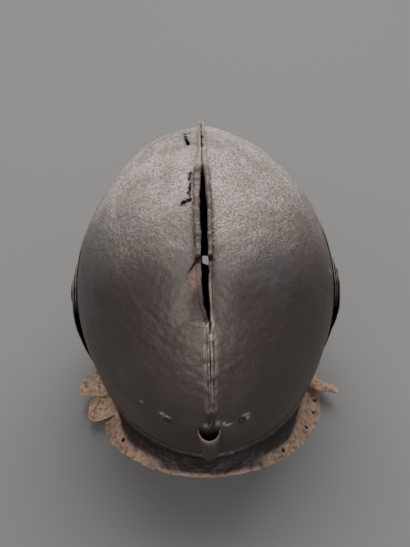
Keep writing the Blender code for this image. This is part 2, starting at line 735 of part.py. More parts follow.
def stand_up(pieces, cutters, collection):
    """Hangs all on an empty on the pivot axis, and puts the origin under the middle of the box."""
    bpy.context.view_layer.update()
    graph = bpy.context.evaluated_depsgraph_get()
    corners = np.array([corner for piece in pieces for corner in piece.evaluated_get(graph).bound_box])
    middle = (corners.min(0) + corners.max(0)) / 2
    axis = add_object("pivot_axis", None, collection)
    for held in (*pieces, *cutters.objects):
        held.parent = axis
    axis.location = (-middle[0], -middle[1], PIVOT_HEIGHT)


def main():
    """Builds the armet."""
    clear_scene()
    scene = bpy.context.scene
    armet = bpy.data.collections.new("armet")
    cutters = bpy.data.collections.new("cutters")
    scene.collection.children.link(armet)
    scene.collection.children.link(cutters)

    outline = skull_outline()
    keep = side_prism("skull_outline", (outline, outline), cutters)
    axis = Matrix.Rotation(math.pi / 2, 4, "Y")
    bore_mesh = cylinder_mesh(PIVOT_RADIUS + FIT_GAP, 2 * OUTSIDE, axis, PIVOT_SIDES)
    bore = as_cutter("pivot_bore", bore_mesh, cutters)
    holes = joined("rust_holes", [rust_hole_mesh(*row) for row in RUST_HOLES])
    floor = floor_cutter(cutters)

    made = {}
    for name, side in (("skull_left", -1), ("skull_right", 1)):
        made[name] = skull_half(name, side, armet)
        boolean(made[name], keep, "INTERSECT")
        boolean(made[name], bore)
    boolean(made["skull_left"], as_cutter("rust_holes", holes, cutters))
    made["visor"] = make_visor(armet, cutters)
    made["ventail"] = make_ventail(armet, cutters)
    made["bevor"] = make_bevor(armet, cutters)
    made["gorget_rear"] = make_gorget_rear(armet, cutters, floor)
    made["gorget_front"] = make_gorget_front(armet, floor)
    made["plume_socket"] = make_plume_socket(armet)
    for name, side in (("pivot_left", -1), ("pivot_right", 1)):
        made[name] = make_pivot(name, side, armet)
    for name, x in (("rivet_left", RIVET_LEFT), ("rivet_right", RIVET_RIGHT)):
        made[name] = make_rivet(name, on_skull(RIVET_ANGLE, x, FIT_GAP), armet)

    steel = material("worn_steel", (0.17, 0.155, 0.145), 0.55, 0.7)
    plate = material("dark_steel", (0.11, 0.10, 0.095), 0.55, 0.7)
    rust = material("rusty_steel", (0.15, 0.095, 0.07), 0.75, 0.35)
    finishes = {name: steel for name in made}
    finishes.update({name: plate for name in ("visor", "ventail", "bevor")})
    finishes.update({name: rust for name in ("gorget_rear", "gorget_front", "rivet_left", "rivet_right")})
    dress(finishes, made)
    stand_up(made.values(), cutters, armet)


main()
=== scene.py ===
# %% [markdown]
# # A corroded steel armet, seen from behind
# An armet is a closed helmet. This one has a skull made of two halves that meet in a low comb, three
# plates over the face that all turn on one pair of pivots, a plume socket at the nape and a flared
# plate round the neck. Here the skull's steel is nearly two millimetres thick and the face plates'
# under one. It is pitted, brown at the neck and split open along the comb.
#
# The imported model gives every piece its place. This file builds each piece again as a fine surface
# with its dents, torn edges and holes, and gives it a finish of worn steel.

import json
import math

import bmesh
import bpy
import numpy as np
from mathutils import Matrix, Vector

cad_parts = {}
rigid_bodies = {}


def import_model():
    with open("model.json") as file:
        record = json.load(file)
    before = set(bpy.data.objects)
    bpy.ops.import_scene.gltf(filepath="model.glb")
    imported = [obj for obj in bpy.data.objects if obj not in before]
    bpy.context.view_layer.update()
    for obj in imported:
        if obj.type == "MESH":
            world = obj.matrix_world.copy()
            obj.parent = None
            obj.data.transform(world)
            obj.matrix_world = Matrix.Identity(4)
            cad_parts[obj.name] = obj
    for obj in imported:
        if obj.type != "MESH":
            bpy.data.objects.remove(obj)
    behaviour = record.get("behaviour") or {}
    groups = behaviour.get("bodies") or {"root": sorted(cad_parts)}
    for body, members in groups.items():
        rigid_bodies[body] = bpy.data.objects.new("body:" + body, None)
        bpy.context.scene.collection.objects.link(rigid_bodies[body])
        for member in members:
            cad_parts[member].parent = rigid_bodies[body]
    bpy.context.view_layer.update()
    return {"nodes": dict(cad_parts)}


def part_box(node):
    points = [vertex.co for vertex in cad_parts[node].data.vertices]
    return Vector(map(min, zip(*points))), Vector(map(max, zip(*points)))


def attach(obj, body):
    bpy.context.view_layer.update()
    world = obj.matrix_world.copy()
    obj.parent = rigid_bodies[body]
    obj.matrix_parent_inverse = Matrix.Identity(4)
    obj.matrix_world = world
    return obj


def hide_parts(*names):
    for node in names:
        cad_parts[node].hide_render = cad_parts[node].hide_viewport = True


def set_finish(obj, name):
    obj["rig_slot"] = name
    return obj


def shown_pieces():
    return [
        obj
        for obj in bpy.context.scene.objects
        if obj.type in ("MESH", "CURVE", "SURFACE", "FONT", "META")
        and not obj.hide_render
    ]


for found in list(bpy.data.objects):
    bpy.data.objects.remove(found, do_unlink=True)
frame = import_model()
print("nodes:", sorted(frame["nodes"]))

# %% [markdown]
# ## The one axis that everything turns about
# An armourer checks a skull by turning it about the line through its two pivots, because the face
# plates have to sweep over it without rubbing. So every form here is drawn about that axis: x is the
# distance along it, an angle says how far round it a point lies (0 is straight ahead, 90 is the
# crown, 180 is the back), and rho is the distance from it. At the end all points are moved up by the
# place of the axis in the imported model.

# %% The pivot axis and the sizes of the skull
pivot_low, pivot_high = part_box("pivot_left")[0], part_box("pivot_right")[1]
AXIS = np.array([(low + high) / 2 for low, high in zip(pivot_low, pivot_high)])
PIVOT_HEIGHT = float(AXIS[2])

SKULL_HALF_WIDTH = 0.099
SKULL_RADIUS = 0.126
SKULL_FULLNESS = 1.85
SKULL_WALL = 0.0018
NECK_HEIGHT = 0.024
NECK_SPREAD = 0.32
NECK_SPREAD_FROM, NECK_SPREAD_PEAK, NECK_SPREAD_TO = 224.0, 259.0, 300.0
OUTSIDE = 0.20
FIT_GAP = 0.0003
print("pivot axis at", AXIS.round(5))


def smooth_step(value):
    """0 up to 0 and 1 from 1: three times the square of the share minus two times its cube."""
    share = np.clip(value, 0.0, 1.0)
    return share * share * (3.0 - 2.0 * share)


def bump(value, centre, reach):
    """A smooth hill of height 1 at the centre: e to the minus square of the distance over the reach."""
    return np.exp(-(((value - centre) / reach) ** 2))


def skull_radius(angle):
    """Radius of the skull about the axis: round, with a smooth swelling below the pivots."""
    turn = np.mod(angle, 360.0)
    rise = smooth_step((turn - NECK_SPREAD_FROM) / (NECK_SPREAD_PEAK - NECK_SPREAD_FROM))
    fall = smooth_step((NECK_SPREAD_TO - turn) / (NECK_SPREAD_TO - NECK_SPREAD_PEAK))
    return SKULL_RADIUS * (1.0 + NECK_SPREAD * np.minimum(rise, fall))


def turned(angle, x, rho):
    """Points of a turned form: (x, rho times the cosine of the angle, rho times its sine)."""
    turn = np.radians(angle)
    return np.stack(np.broadcast_arrays(x, rho * np.cos(turn), rho * np.sin(turn)), -1)


def swell(x, half_width, radius, fullness):
    """rho of a superellipse: radius times (1 - (x / half width) ^ fullness) ^ (1 / fullness)."""
    share = np.clip(np.abs(x) / half_width, 0.0, 1.0)
    return radius * (1.0 - share**fullness) ** (1.0 / fullness)


# %% [markdown]
# ## Dents
# Old plate is never even. A hammer leaves shallow hollows a few centimetres across, and rust eats
# lumps and pits into it. The larger of these show at the outline, so they are put into the mesh
# itself. Adding up many plane waves in fixed random directions gives a smooth unevenness that has
# the same value wherever two pieces meet, and that is the same each time the file runs.

# %% Unevenness as a sum of waves


def waves(points, seed, wavelength, count=18):
    """Uneven height of about unit size: the sum of sines of the distance along seeded directions."""
    draw = np.random.default_rng(seed)
    heading = draw.normal(size=(count, 3))
    heading /= np.linalg.norm(heading, axis=1, keepdims=True)
    length = wavelength * draw.uniform(0.6, 1.5, count)
    phase = draw.uniform(0.0, 2 * math.pi, count)
    total = np.zeros(points.shape[:-1])
    for direction, size, start in zip(heading, length, phase):
        total += np.sin(points @ direction * (2 * math.pi / size) + start)
    return total / math.sqrt(count / 2)


def uneven(value, seed, wavelength, count=14):
    """The same unevenness along one line of values."""
    line = np.zeros(np.shape(value) + (3,))
    line[..., 0] = value
    return waves(line, seed, wavelength, count)


print("waves at three points:", waves(np.eye(3) * 0.05, 3, 0.02).round(2))

# %% [markdown]
# ## From two grids to a plate with a thickness
# Every plate is two grids of points, one for its outer side and one for its inner side, with the
# same rows and columns. Outlines, sights and rust holes are given as a field: a number for each
# point, which is the distance to the nearest edge, positive in the steel and negative in the air.
# Cells in the air are left out, and the points next to them slide along the surface until the field
# is zero there, so an edge is a smooth line and not a stair. Last, a strip of faces joins both
# sides wherever a kept cell has no neighbour. A Boolean could cut the same holes, but it leaves long
# thin triangles, and dents would then crease along them.

# %% Cutting and closing a plate


def normals_of(points, cyclic):
    """Unit normals of a grid: the cross product of the steps along its rows and its columns."""
    if cyclic:
        along = np.roll(points, -1, 0) - np.roll(points, 1, 0)
    else:
        along = np.gradient(points, axis=0)
    normal = np.cross(along, np.gradient(points, axis=1))
    return normal / np.maximum(np.linalg.norm(normal, axis=-1, keepdims=True), 1e-15)


def cell_mean(value, cyclic):
    """Mean of the four corner values of every cell."""
    first, after = (value, np.roll(value, -1, 0)) if cyclic else (value[:-1], value[1:])
    return (first[:, :-1] + first[:, 1:] + after[:, :-1] + after[:, 1:]) / 4


def cells_round(kept, cyclic):
    """How many kept cells meet at every point."""
    rows, columns = kept.shape
    total = np.zeros((rows + (not cyclic), columns + 1))
    for row in (0, 1):
        for column in (0, 1):
            if cyclic:
                total[:, column : column + columns] += np.roll(kept, row, 0)
            else:
                total[row : row + rows, column : column + columns] += kept
    return total


EDGE_REACH = 0.0013


def slide(points, field, border, normals, longest):
    """Moves border points along the surface, by field over slope, until the field is zero there."""
    step = 0.00005
    where = points[border]
    normal = normals[border]
    for _ in range(4):
        value = field(where)
        slope = np.stack(
            [(field(where + push) - field(where - push)) / (2 * step) for push in np.eye(3) * step], -1
        )
        slope -= normal * (slope * normal).sum(-1, keepdims=True)
        steep = np.maximum((slope * slope).sum(-1), 0.15)
        move = slope * (-value / steep)[:, None]
        size = np.linalg.norm(move, axis=-1, keepdims=True)
        where = where + move * np.minimum(1.0, longest / np.maximum(size, 1e-12))
    points[border] = where


def shell(name, outer, inner, field=None, cyclic=False, paint=None, torn=None):
    """A closed plate between two grids, without torn cells and those where the field is negative."""
    outer, inner = outer.copy(), inner.copy()
    rows, columns = outer.shape[:2]
    kept = np.ones((rows - (not cyclic), columns - 1), bool)
    if field is not None:
        kept = cell_mean(field(outer), cyclic) > 0.0
        round_point = cells_round(kept, cyclic)
        border = (round_point > 0) & (round_point < cells_round(np.ones_like(kept), cyclic))
        for points in (outer, inner):
            slide(points, field, border, normals_of(points, cyclic), 0.003)
        paint = {"edge": np.exp(-field(outer).clip(0) / EDGE_REACH), **(paint or {})}
    if torn is not None:
        kept = kept & ~torn
    number = np.arange(rows * columns).reshape(rows, columns)
    here, after = (number, np.roll(number, -1, 0)) if cyclic else (number[:-1], number[1:])
    corners = np.stack([here[:, :-1], here[:, 1:], after[:, 1:], after[:, :-1]], -1)
    padded = np.zeros((kept.shape[0] + 2, kept.shape[1] + 2), bool)
    padded[1:-1, 1:-1] = kept
    if cyclic:
        padded[0, 1:-1], padded[-1, 1:-1] = kept[-1], kept[0]
    beside = (padded[:-2, 1:-1], padded[1:-1, 2:], padded[2:, 1:-1], padded[1:-1, :-2])
    layer = rows * columns
    quads = [corners[kept], corners[kept][:, ::-1] + layer]
    for edge, neighbour in enumerate(beside):
        open_edge = kept & ~neighbour
        first, second = corners[open_edge][:, edge], corners[open_edge][:, (edge + 1) % 4]
        quads.append(np.stack([second, first, first + layer, second + layer], -1))
    points = np.concatenate([outer.reshape(-1, 3), inner.reshape(-1, 3)])
    values = {key: np.tile(value.ravel(), 2) for key, value in (paint or {}).items()}
    return piece(name, points, np.concatenate(quads), values)


def volume_of(points, quads):
    """Signed volume inside closed quads: each is two triangles, each with the origin a tetrahedron."""
    a, b, c, d = (points[quads[:, corner]] for corner in range(4))
    return float((np.cross(a, b) * c).sum() + (np.cross(a, c) * d).sum()) / 6


def piece(name, points, quads, values=None):
    """An object of those points and four-sided faces, in the row frame, its faces outwards."""
    if volume_of(points, quads) < 0:
        quads = quads[:, ::-1]
    used, quads = np.unique(quads, return_inverse=True)
    quads = quads.reshape(-1, 4)
    points = points[used] + AXIS
    points[:, 2] = points[:, 2].clip(0.0)
    mesh = bpy.data.meshes.new(name)
    mesh.vertices.add(len(points))
    mesh.vertices.foreach_set("co", points.astype(np.float32).ravel())
    mesh.loops.add(quads.size)
    mesh.loops.foreach_set("vertex_index", quads.astype(np.int32).ravel())
    mesh.polygons.add(len(quads))
    mesh.polygons.foreach_set("loop_start", np.arange(0, quads.size, 4, dtype=np.int32))
    mesh.update(calc_edges=True)
    for key, value in (values or {}).items():
        mark = mesh.attributes.new(key, "FLOAT", "POINT")
        mark.data.foreach_set("value", value[used].astype(np.float32))
    work = bmesh.new()
    work.from_mesh(mesh)
    bmesh.ops.remove_doubles(work, verts=work.verts, dist=2e-6)
    bmesh.ops.dissolve_degenerate(work, dist=1e-6, edges=work.edges)
    work.to_mesh(mesh)
    work.free()
    mesh.shade_smooth()
    mesh.set_sharp_from_angle(angle=math.radians(40.0))
    made = bpy.data.objects.new(name, mesh)
    bpy.context.scene.collection.objects.link(made)
    print(name, "has", len(mesh.polygons), "faces")
    return made


# %% [markdown]
# ## Outlines
# The side view of a plate is a closed line of points (y, z). The distance to it is the distance to
# the nearest of its straight stretches, and a point is inside when a ray from it crosses the line an
# odd number of times.

# %% Distance to an outline


def polar(radius, angle):
    """A point (y, z) at that distance and angle from the axis."""
    return (radius * math.cos(math.radians(angle)), radius * math.sin(math.radians(angle)))


def arc(centre, radius, first, last, steps):
    """Points (y, z) along an arc, angles in degrees."""
    turn = np.radians(np.linspace(first, last, steps + 1))
    return [(centre[0] + radius * math.cos(t), centre[1] + radius * math.sin(t)) for t in turn]


def within(points, outline):
    """Distance to the outline in side view, positive inside it."""
    y, z = points[..., 1], points[..., 2]
    corners = np.array(outline)
    nearest = np.full(y.shape, 1.0)
    crossed = np.zeros(y.shape, bool)
    for (y0, z0), (y1, z1) in zip(corners, np.roll(corners, -1, 0)):
        dy, dz = y1 - y0, z1 - z0
        share = np.clip(((y - y0) * dy + (z - z0) * dz) / (dy * dy + dz * dz), 0.0, 1.0)
        nearest = np.minimum(nearest, np.hypot(y - y0 - share * dy, z - z0 - share * dz))
        if dz != 0.0:
            crossed ^= ((z0 > z) != (z1 > z)) & (y < (z - z0) * dy / dz + y0)
    return np.where(crossed, nearest, -nearest)


def bore_field(points, radius=0.0033):
    """Distance from the pivot hole."""
    return np.hypot(points[..., 1], points[..., 2]) - radius


def skull_outline():
    """Side view of the skull: face edge from the brow down to the neck, then behind and above."""
    neck = NECK_HEIGHT - PIVOT_HEIGHT
    brow = polar(SKULL_RADIUS * 1.05, 17.0)
    edge = [
        brow,
        polar(SKULL_RADIUS * 0.72, 19.0),
        polar(SKULL_RADIUS * 0.42, 22.0),
        polar(SKULL_RADIUS * 0.26, 24.0),
        (0.200 * SKULL_RADIUS, 0.0),
        (0.175 * SKULL_RADIUS, 0.25 * neck),
        (0.110 * SKULL_RADIUS, 0.60 * neck),
        (0.065 * SKULL_RADIUS, neck),
    ]
    return edge + [(-OUTSIDE, neck), (-OUTSIDE, OUTSIDE), (OUTSIDE, OUTSIDE), (OUTSIDE, brow[1] * 1.9)]


print("skull outline has", len(skull_outline()), "corners")

# %% [markdown]
# ## The comb and its split
# Each half of the skull is turned up along the middle, and the two low walls stand back to back as
# the comb. On this helmet the seam has opened from above the crown to below the back of the head,
# so there is a dark gap between the walls, with torn lips at its lower end. A table gives the
# height, width and opening of the comb at each angle, and short waves make its edges ragged.

# %% The comb's section at each angle
COMB_HEIGHT = 0.006
COMB_WIDTH = 0.0105
SPLIT_WIDTH = 0.0053
COMB_TABLE = np.array(
    (
        # angle in degrees; height and width on the left, height and width on the right, split, each
        # as a share of the sizes above; shift of the seam to the right in mm; depth of the groove
        # between the ridges
        (0, 0.08, 0.32, 0.08, 0.32, 0.0, 0.0, 0.0),
        (36, 0.08, 0.32, 0.08, 0.32, 0.0, 0.0, 0.0),
        (58, 0.60, 0.42, 0.60, 0.42, 0.0, 0.0, 0.0),
        (78, 0.72, 0.50, 0.72, 0.50, 0.0, 0.0, 0.0),
        (92, 0.88, 0.72, 0.88, 0.70, 0.0, 0.0, 0.0),
        (96, 0.95, 0.98, 0.95, 0.78, 0.00, 0.1, 0.0),
        (98, 1.00, 1.16, 1.00, 0.84, 0.20, 0.1, 0.0),
        (105, 1.00, 1.26, 1.00, 0.96, 0.58, 0.1, 0.0),
        (113, 1.00, 1.30, 1.00, 1.02, 0.78, 0.2, 0.0),
        (125, 1.00, 1.28, 1.00, 1.04, 0.92, 0.3, 0.0),
        (129, 0.95, 1.22, 0.95, 1.02, 0.92, 0.2, 0.0),
        (131.5, 0.35, 1.14, 0.92, 0.98, 0.90, -0.1, 0.0),
        (138, 0.18, 1.02, 0.85, 0.92, 0.80, -0.2, 0.0),
        (143, 0.15, 0.90, 0.80, 0.84, 0.60, 0.5, 0.0),
        (146.5, 0.30, 0.75, 0.85, 0.74, 0.24, 1.8, 0.0),
        (149, 0.75, 0.62, 0.85, 0.66, 0.10, 2.7, 0.3),
        (152, 0.62, 0.60, 0.60, 0.62, 0.0, 2.2, 0.8),
        (160, 0.42, 0.60, 0.46, 0.60, 0.0, 2.1, 1.0),
        (175, 0.38, 0.52, 0.42, 0.54, 0.0, 2.0, 1.0),
        (186, 0.34, 0.46, 0.36, 0.50, 0.0, 1.4, 1.0),
        (192, 0.10, 0.32, 0.10, 0.32, 0.0, 0.0, 0.5),
        (360, 0.08, 0.32, 0.08, 0.32, 0.0, 0.0, 0.0),
    )
)
LEFT_COLUMNS, RIGHT_COLUMNS = (1, 2, 5, 6, 7), (3, 4, 5, 6, 7)
EATEN_PLACES = (
    # angle in degrees, widening of the half split in metres, reach in degrees
    (68.5, 0.0008, 3.2),
    (80.0, 0.0009, 1.8),
    (85.0, 0.0010, 1.7),
)


def comb_size(angle, side):
    """Height, half width, half opening, shift and groove at an angle, uneven on each side."""
    turn = np.mod(angle, 360.0)
    columns = LEFT_COLUMNS if side < 0 else RIGHT_COLUMNS
    height, width, split, shift, groove = (
        np.interp(turn, COMB_TABLE[:, 0], COMB_TABLE[:, column]) for column in columns
    )
    ragged = uneven(angle, 11 + side, 9.0)
    fine = uneven(angle, 31 + side, 2.6)
    on_comb = smooth_step((height - 0.1) / 0.3) * (1.0 - 0.7 * groove)
    height = COMB_HEIGHT * height * (1.0 - on_comb * (0.06 + 0.05 * ragged + 0.05 * fine))
    half_split = FIT_GAP / 2 + SPLIT_WIDTH / 2 * split
    half_split = half_split + on_comb * (0.00010 * (fine + ragged + 1.2).clip(0) + 0.00012 * split * ragged)
    eaten = sum(deep * bump(angle, middle, reach) for middle, deep, reach in EATEN_PLACES)
    half_split = half_split + eaten * (1.0 + 0.35 * fine)
    half_width = COMB_WIDTH / 2 * width + on_comb * 0.00012 * uneven(angle, 51 + side, 14.0)
    return height, half_width, half_split.clip(FIT_GAP / 2), 0.001 * shift, groove


print("comb at the crown in mm:", [round(1000 * float(size), 2) for size in comb_size(90.0, 1)])

# %% [markdown]
# ## The skull's two halves
# One half is a grid: its rows go round the pivot axis and its columns run from the pivot in towards
# the comb, up its side and over its top. The inner side follows 1.8 millimetres within and then
# rises along the split. Rows and columns lie closest together where the photograph shows the most,
# at the comb and in the corroded patch beside it.

# %% Columns and rows of the skull
FACE_ROWS, CRACK_ROWS = (15.0, 66.0, 1.0), (66.0, 155.0, 0.45)
BACK_ROWS, CHEEK_ROWS = (155.0, 240.0, 0.75), (240.0, 375.0, 1.8)
NEAR_COMB = 0.018
OUTER_CLIMB = ((0.02, 0.35), (0.06, 0.70), (0.16, 0.92), (0.30, 1.0))
INNER_CLIMB = ((1.0, 0.30), (1.0, 0.70), (0.92, 0.90), (0.75, 1.0))
GROOVE_CLIMB = ((1.0, 0.04), (1.0, 0.08), (0.80, 0.12), (0.50, 0.20))


def graded(*stretches):
    """Angles from each (first, last, step) stretch in turn, the last point left to the next one."""
    parts = [np.linspace(a, b, int(round((b - a) / step)), endpoint=False) for a, b, step in stretches]
    return np.concatenate(parts)


def hollow(angle, x):
    """Change of rho: the left edge curled in below the split, and a knock on the crown's right."""
    curl = smooth_step((angle - 131.0) / 12.0) * (1.0 - smooth_step((angle - 147.2) / 2.6))
    left = smooth_step((0.003 - x) / 0.004)
    knock = bump(angle, 55.0, 21.0) * bump(x, 0.031, 0.024)
    return -0.0046 * curl * left * bump(x, -0.001, 0.0125) - 0.0027 * knock


def skull_grids(side):
    """Both grids of one half, how far each point is up the comb, and how deep in its crease."""
    angle = graded(FACE_ROWS, CRACK_ROWS, BACK_ROWS, CHEEK_ROWS)[:, None]
    height, half_width, half_split, shift, groove = comb_size(angle, side)
    near = math.asin((NEAR_COMB / SKULL_HALF_WIDTH) ** (SKULL_FULLNESS / 2))
    swing = np.linspace(math.pi / 2 - 0.008, near, 92)[:-1]
    far_share = np.sin(swing) ** (2 / SKULL_FULLNESS)
    inward = np.linspace(0.0, 1.0, 24) ** 0.92
    grooved = [
        tuple((1 - groove) * plain + groove * deep for plain, deep in zip(*pair))
        for pair in zip(INNER_CLIMB, GROOVE_CLIMB)
    ]
    grids = []
    for wall, foot_x, climb in ((0.0, half_width, OUTER_CLIMB), (SKULL_WALL, half_split, grooved)):
        wide, radius = SKULL_HALF_WIDTH - wall, skull_radius(angle) - wall
        far = np.broadcast_to(wide * far_share, (len(angle), len(far_share)))
        x = np.concatenate([far, NEAR_COMB + (foot_x - NEAR_COMB) * inward], 1)
        rho = swell(x, wide, radius, SKULL_FULLNESS)
        if wall == 0.0:
            rho = rho + 0.0009 * height / COMB_HEIGHT * np.exp(-((x - half_width) / 0.0022).clip(0))
            foot = rho[:, -1:]
            on_comb = np.exp(-((x - half_width) / 0.0011).clip(0)) * height / COMB_HEIGHT
            crease = bump(x - half_width, 0.0005, 0.0007) * height / COMB_HEIGHT
        thick = half_width - half_split
        top_x = np.concatenate([half_width - share * thick for share, _ in climb], 1)
        top_rho = np.concatenate([foot + rise * height for _, rise in climb], 1)
        x, rho = np.concatenate([x, top_x], 1), np.concatenate([rho, top_rho], 1)
        x = x + side * shift * (1.0 - smooth_step((x - half_width) / (NEAR_COMB - half_width)))
        grids.append(turned(angle, side * x, rho + hollow(angle, side * x)))
    on_comb = np.concatenate([on_comb, np.repeat(height / COMB_HEIGHT, 4, axis=1)], 1)
    crease = np.concatenate([crease, np.repeat(0.0 * height, 4, axis=1)], 1)
    return *grids, on_comb, crease


def skull_dents(points):
    """Height of dents and lumps at a point: long hammer hollows, and shorter lumps of rust."""
    rho = np.hypot(points[..., 1], points[..., 2])
    angle = np.degrees(np.arctan2(points[..., 2], points[..., 1]))
    upper = smooth_step((points[..., 2] + 0.02) / 0.06)
    height = (0.00032 * waves(points, 1, 0.055) + 0.00010 * waves(points, 2, 0.018)) * (0.35 + 0.65 * upper)
    height += upper * 0.00009 * waves(points, 4, 0.007)
    height += 0.0017 * bump(angle, 112.0, 28.0) * smooth_step((-points[..., 0] - 0.035) / 0.05)
    return height * smooth_step((rho - 0.026) / 0.03)


def dented(outer, inner, height, cyclic):
    """Both grids pushed along the outer one's normals by that height."""
    normal = normals_of(outer, cyclic)
    facing = np.sign((normal * outer).sum(-1, keepdims=True))
    push = normal * facing * height[..., None]
    return outer + push, inner + push


# %% [markdown]
# ## Cracks and holes beside the comb
# Rust has opened ragged cracks along the left half, just beside the comb. Two short wide ones, one
# in each wall, make a small window in the split. A crack is drawn as a person would draw it on the
# steel: a line of a few
# corners, each given by its angle and its distance left of the middle, with a width. Waves added to
# the distance from the line make its edges ragged.

# %% Cracks
CRACKS = (
    # half width in mm, then corners: angle along the skull, distance left of the middle in mm
    (1.00, ((70.6, 11.9), (71.4, 10.6), (71.0, 9.2))),
    (0.85, ((73.3, 11.8), (77.0, 11.0))),
    (1.15, ((77.0, 11.0), (81.4, 9.6))),
    (0.80, ((97.6, 8.0), (98.4, 8.8), (99.9, 9.2), (101.0, 8.6))),
    (0.62, ((102.0, 8.4), (103.4, 8.8))),
    (1.05, ((103.8, 9.0), (105.6, 9.6))),
    (0.50, ((105.6, 9.4), (107.2, 9.2), (108.4, 9.0))),
    (1.20, ((108.6, 9.6), (108.8, 11.6), (109.5, 14.4))),
    (0.45, ((132.0, 11.2), (131.2, 8.8), (129.8, 7.2), (128.6, 6.4))),
    (1.60, ((128.3, 4.8), (129.1, 4.8))),
    (1.60, ((128.3, -3.9), (129.1, -3.9))),
    (0.60, ((164.0, -1.6), (164.9, -1.6))),
)


def crack_field(points):
    """Distance from the nearest crack: from the nearest of its straight stretches, less its half width."""
    along = np.radians(np.degrees(np.arctan2(points[..., 2], points[..., 1]))) * SKULL_RADIUS
    left = -points[..., 0]
    nearest = np.full(along.shape, 0.05)
    for half_width, corners in CRACKS:
        for (first, a), (last, b) in zip(corners[:-1], corners[1:]):
            start = np.array([math.radians(first) * SKULL_RADIUS, a / 1000])
            step = np.array([math.radians(last - first) * SKULL_RADIUS, (b - a) / 1000])
            du, dv = along - start[0], left - start[1]
            share = np.clip((du * step[0] + dv * step[1]) / (step @ step), 0.0, 1.0)
            away = np.hypot(du - share * step[0], dv - share * step[1]) - half_width / 1000
            nearest = np.minimum(nearest, away)
    return nearest + 0.00026 * waves(points, 7, 0.0032)


def solid_field(points):
    """Distance to the outline or the pivot hole of a skull half, as it was made."""
    return np.minimum(within(points, skull_outline()), bore_field(points))


def crack_distance(points):
    """Distance to the nearest crack, worked out only near the comb."""
    near_comb = (np.abs(points[..., 0]) < 0.02) & (points[..., 2] > -0.02)
    cracks = np.full(points.shape[:-1], 0.05)
    cracks[near_comb] = crack_field(points[near_comb])
    return cracks


def skull_field(points):
    """Distance to the nearest edge of a skull half: its outline, its pivot hole or a crack."""
    return np.minimum(solid_field(points), crack_distance(points))


print("cracks:", len(CRACKS))

# %% [markdown]
# ## Marks painted on the steel
# Some marks belong to places and not to the whole surface: a painted highlight on the torn lips,
# the edge of the split, the ridge below it and a spot near the right pivot, rust bleeding from the
# notch and the plume socket, a few scratches, and painted shade in the cracks, creases and split.
# Most are soft spots on the skull, each given by its angle and its place across, and all are kept
# as attributes on the mesh for the finish to read.

# %% Bright marks and rust spots
# The first six rows and the last are painted highlights: the torn lips and the right edge at the split's lower
# end, two short lines on the ridge below it, and a spot near the right pivot. The others are short pale lines
# across the nape.
BRIGHT_MARKS = (
    # angle, place across in mm, reach along in degrees, reach across in mm
    (150.2, 0.4, 1.3, 1.5),
    (148.5, 5.2, 3.4, 0.6),
    (152.3, 4.6, 1.0, 1.2),
    (157.0, -1.0, 2.2, 0.45),
    (161.5, -0.9, 0.8, 0.5),
    (141.5, 2.9, 3.0, 0.7),
    (185.5, 26.0, 0.45, 2.6),
    (187.6, 27.4, 0.9, 1.2),
    (185.6, -33.2, 0.6, 1.6),
    (186.4, -29.4, 0.7, 2.2),
    (184.6, -47.5, 0.5, 0.8),
    (188.2, 13.5, 0.5, 2.6),
    (186.9, 10.6, 0.7, 0.9),
    (120.0, 93.5, 0.8, 1.4),
)
RUST_SPOTS = (
    # the same four
    (136.2, -8.0, 2.6, 3.0),
    (131.0, -6.0, 1.6, 1.6),
    (100.0, -5.6, 1.8, 1.8),
    (103.0, -4.6, 1.2, 1.5),
    (99.6, 1.8, 1.8, 1.5),
    (187.5, -2.2, 1.1, 2.0),
    (186.6, 6.2, 1.4, 2.2),
    (133.5, -7.5, 2.6, 3.4),
)


def spots(points, table):
    """The largest of the soft spots at each point: e to the minus square of the scaled distance."""
    angle = np.degrees(np.arctan2(points[..., 2], points[..., 1])) % 360.0
    found = np.zeros(angle.shape)
    for middle, across, along_reach, across_reach in table:
        along, aside = (angle - middle) / along_reach, (1000 * points[..., 0] - across) / across_reach
        found = np.maximum(found, np.exp(-(along**2 + aside**2)))
    return found


def skull_paint(outer, on_comb, crease):
    """The marks of one half: comb, edge, painted highlights on lips and ridges, rust, and painted shade in
    cracks and creases.
    """
    angle = np.degrees(np.arctan2(outer[..., 2], outer[..., 1]))
    opened = smooth_step((angle - 94.0) / 5.0) * (1.0 - smooth_step((angle - 132.0) / 5.0))
    walls = 0.75 * opened * on_comb * (0.6 + 0.4 * waves(outer, 12, 0.0025)).clip(0, 1)
    flecks = (0.45 + 0.6 * waves(outer, 13, 0.003)).clip(0, 1)
    # Painted highlight along the tops of the low ridges below the split.
    ridges = smooth_step((angle - 147.0) / 3.0) * (1.0 - smooth_step((angle - 186.0) / 4.0)) * on_comb
    # Painted shade for the deep mark: the curled-in edge below the split, the slit along the closed comb, the
    # rims of the cracks, and the walls and crease of the open split.
    curled = 0.7 * bump(angle, 142.5, 5.0) * bump(outer[..., 0], -0.004, 0.006)
    closed = smooth_step((angle - 60.0) / 4.0) * (1.0 - smooth_step((angle - 99.0) / 3.0))
    seam = closed * bump(outer[..., 0], 0.0, 0.0022) * (0.60 + 0.5 * waves(outer, 15, 0.005)).clip(0, 1)
    seam = np.maximum(seam, 0.45 * closed * on_comb * flecks)
    cracked = np.exp(-crack_distance(outer).clip(0) / 0.0007)
    ridge_highlight = ridges * (0.55 + 0.3 * waves(outer, 14, 0.01)).clip(0, 1)
    between = opened * on_comb * (0.45 + 0.35 * flecks)
    return {
        "comb": on_comb,
        "edge": np.exp(-solid_field(outer).clip(0) / EDGE_REACH),
        "bright": np.maximum(spots(outer, BRIGHT_MARKS), ridge_highlight),
        "rust": np.maximum(spots(outer, RUST_SPOTS), walls),
        "deep": np.maximum.reduce([cracked, opened * crease * flecks, curled, seam, between]),
    }


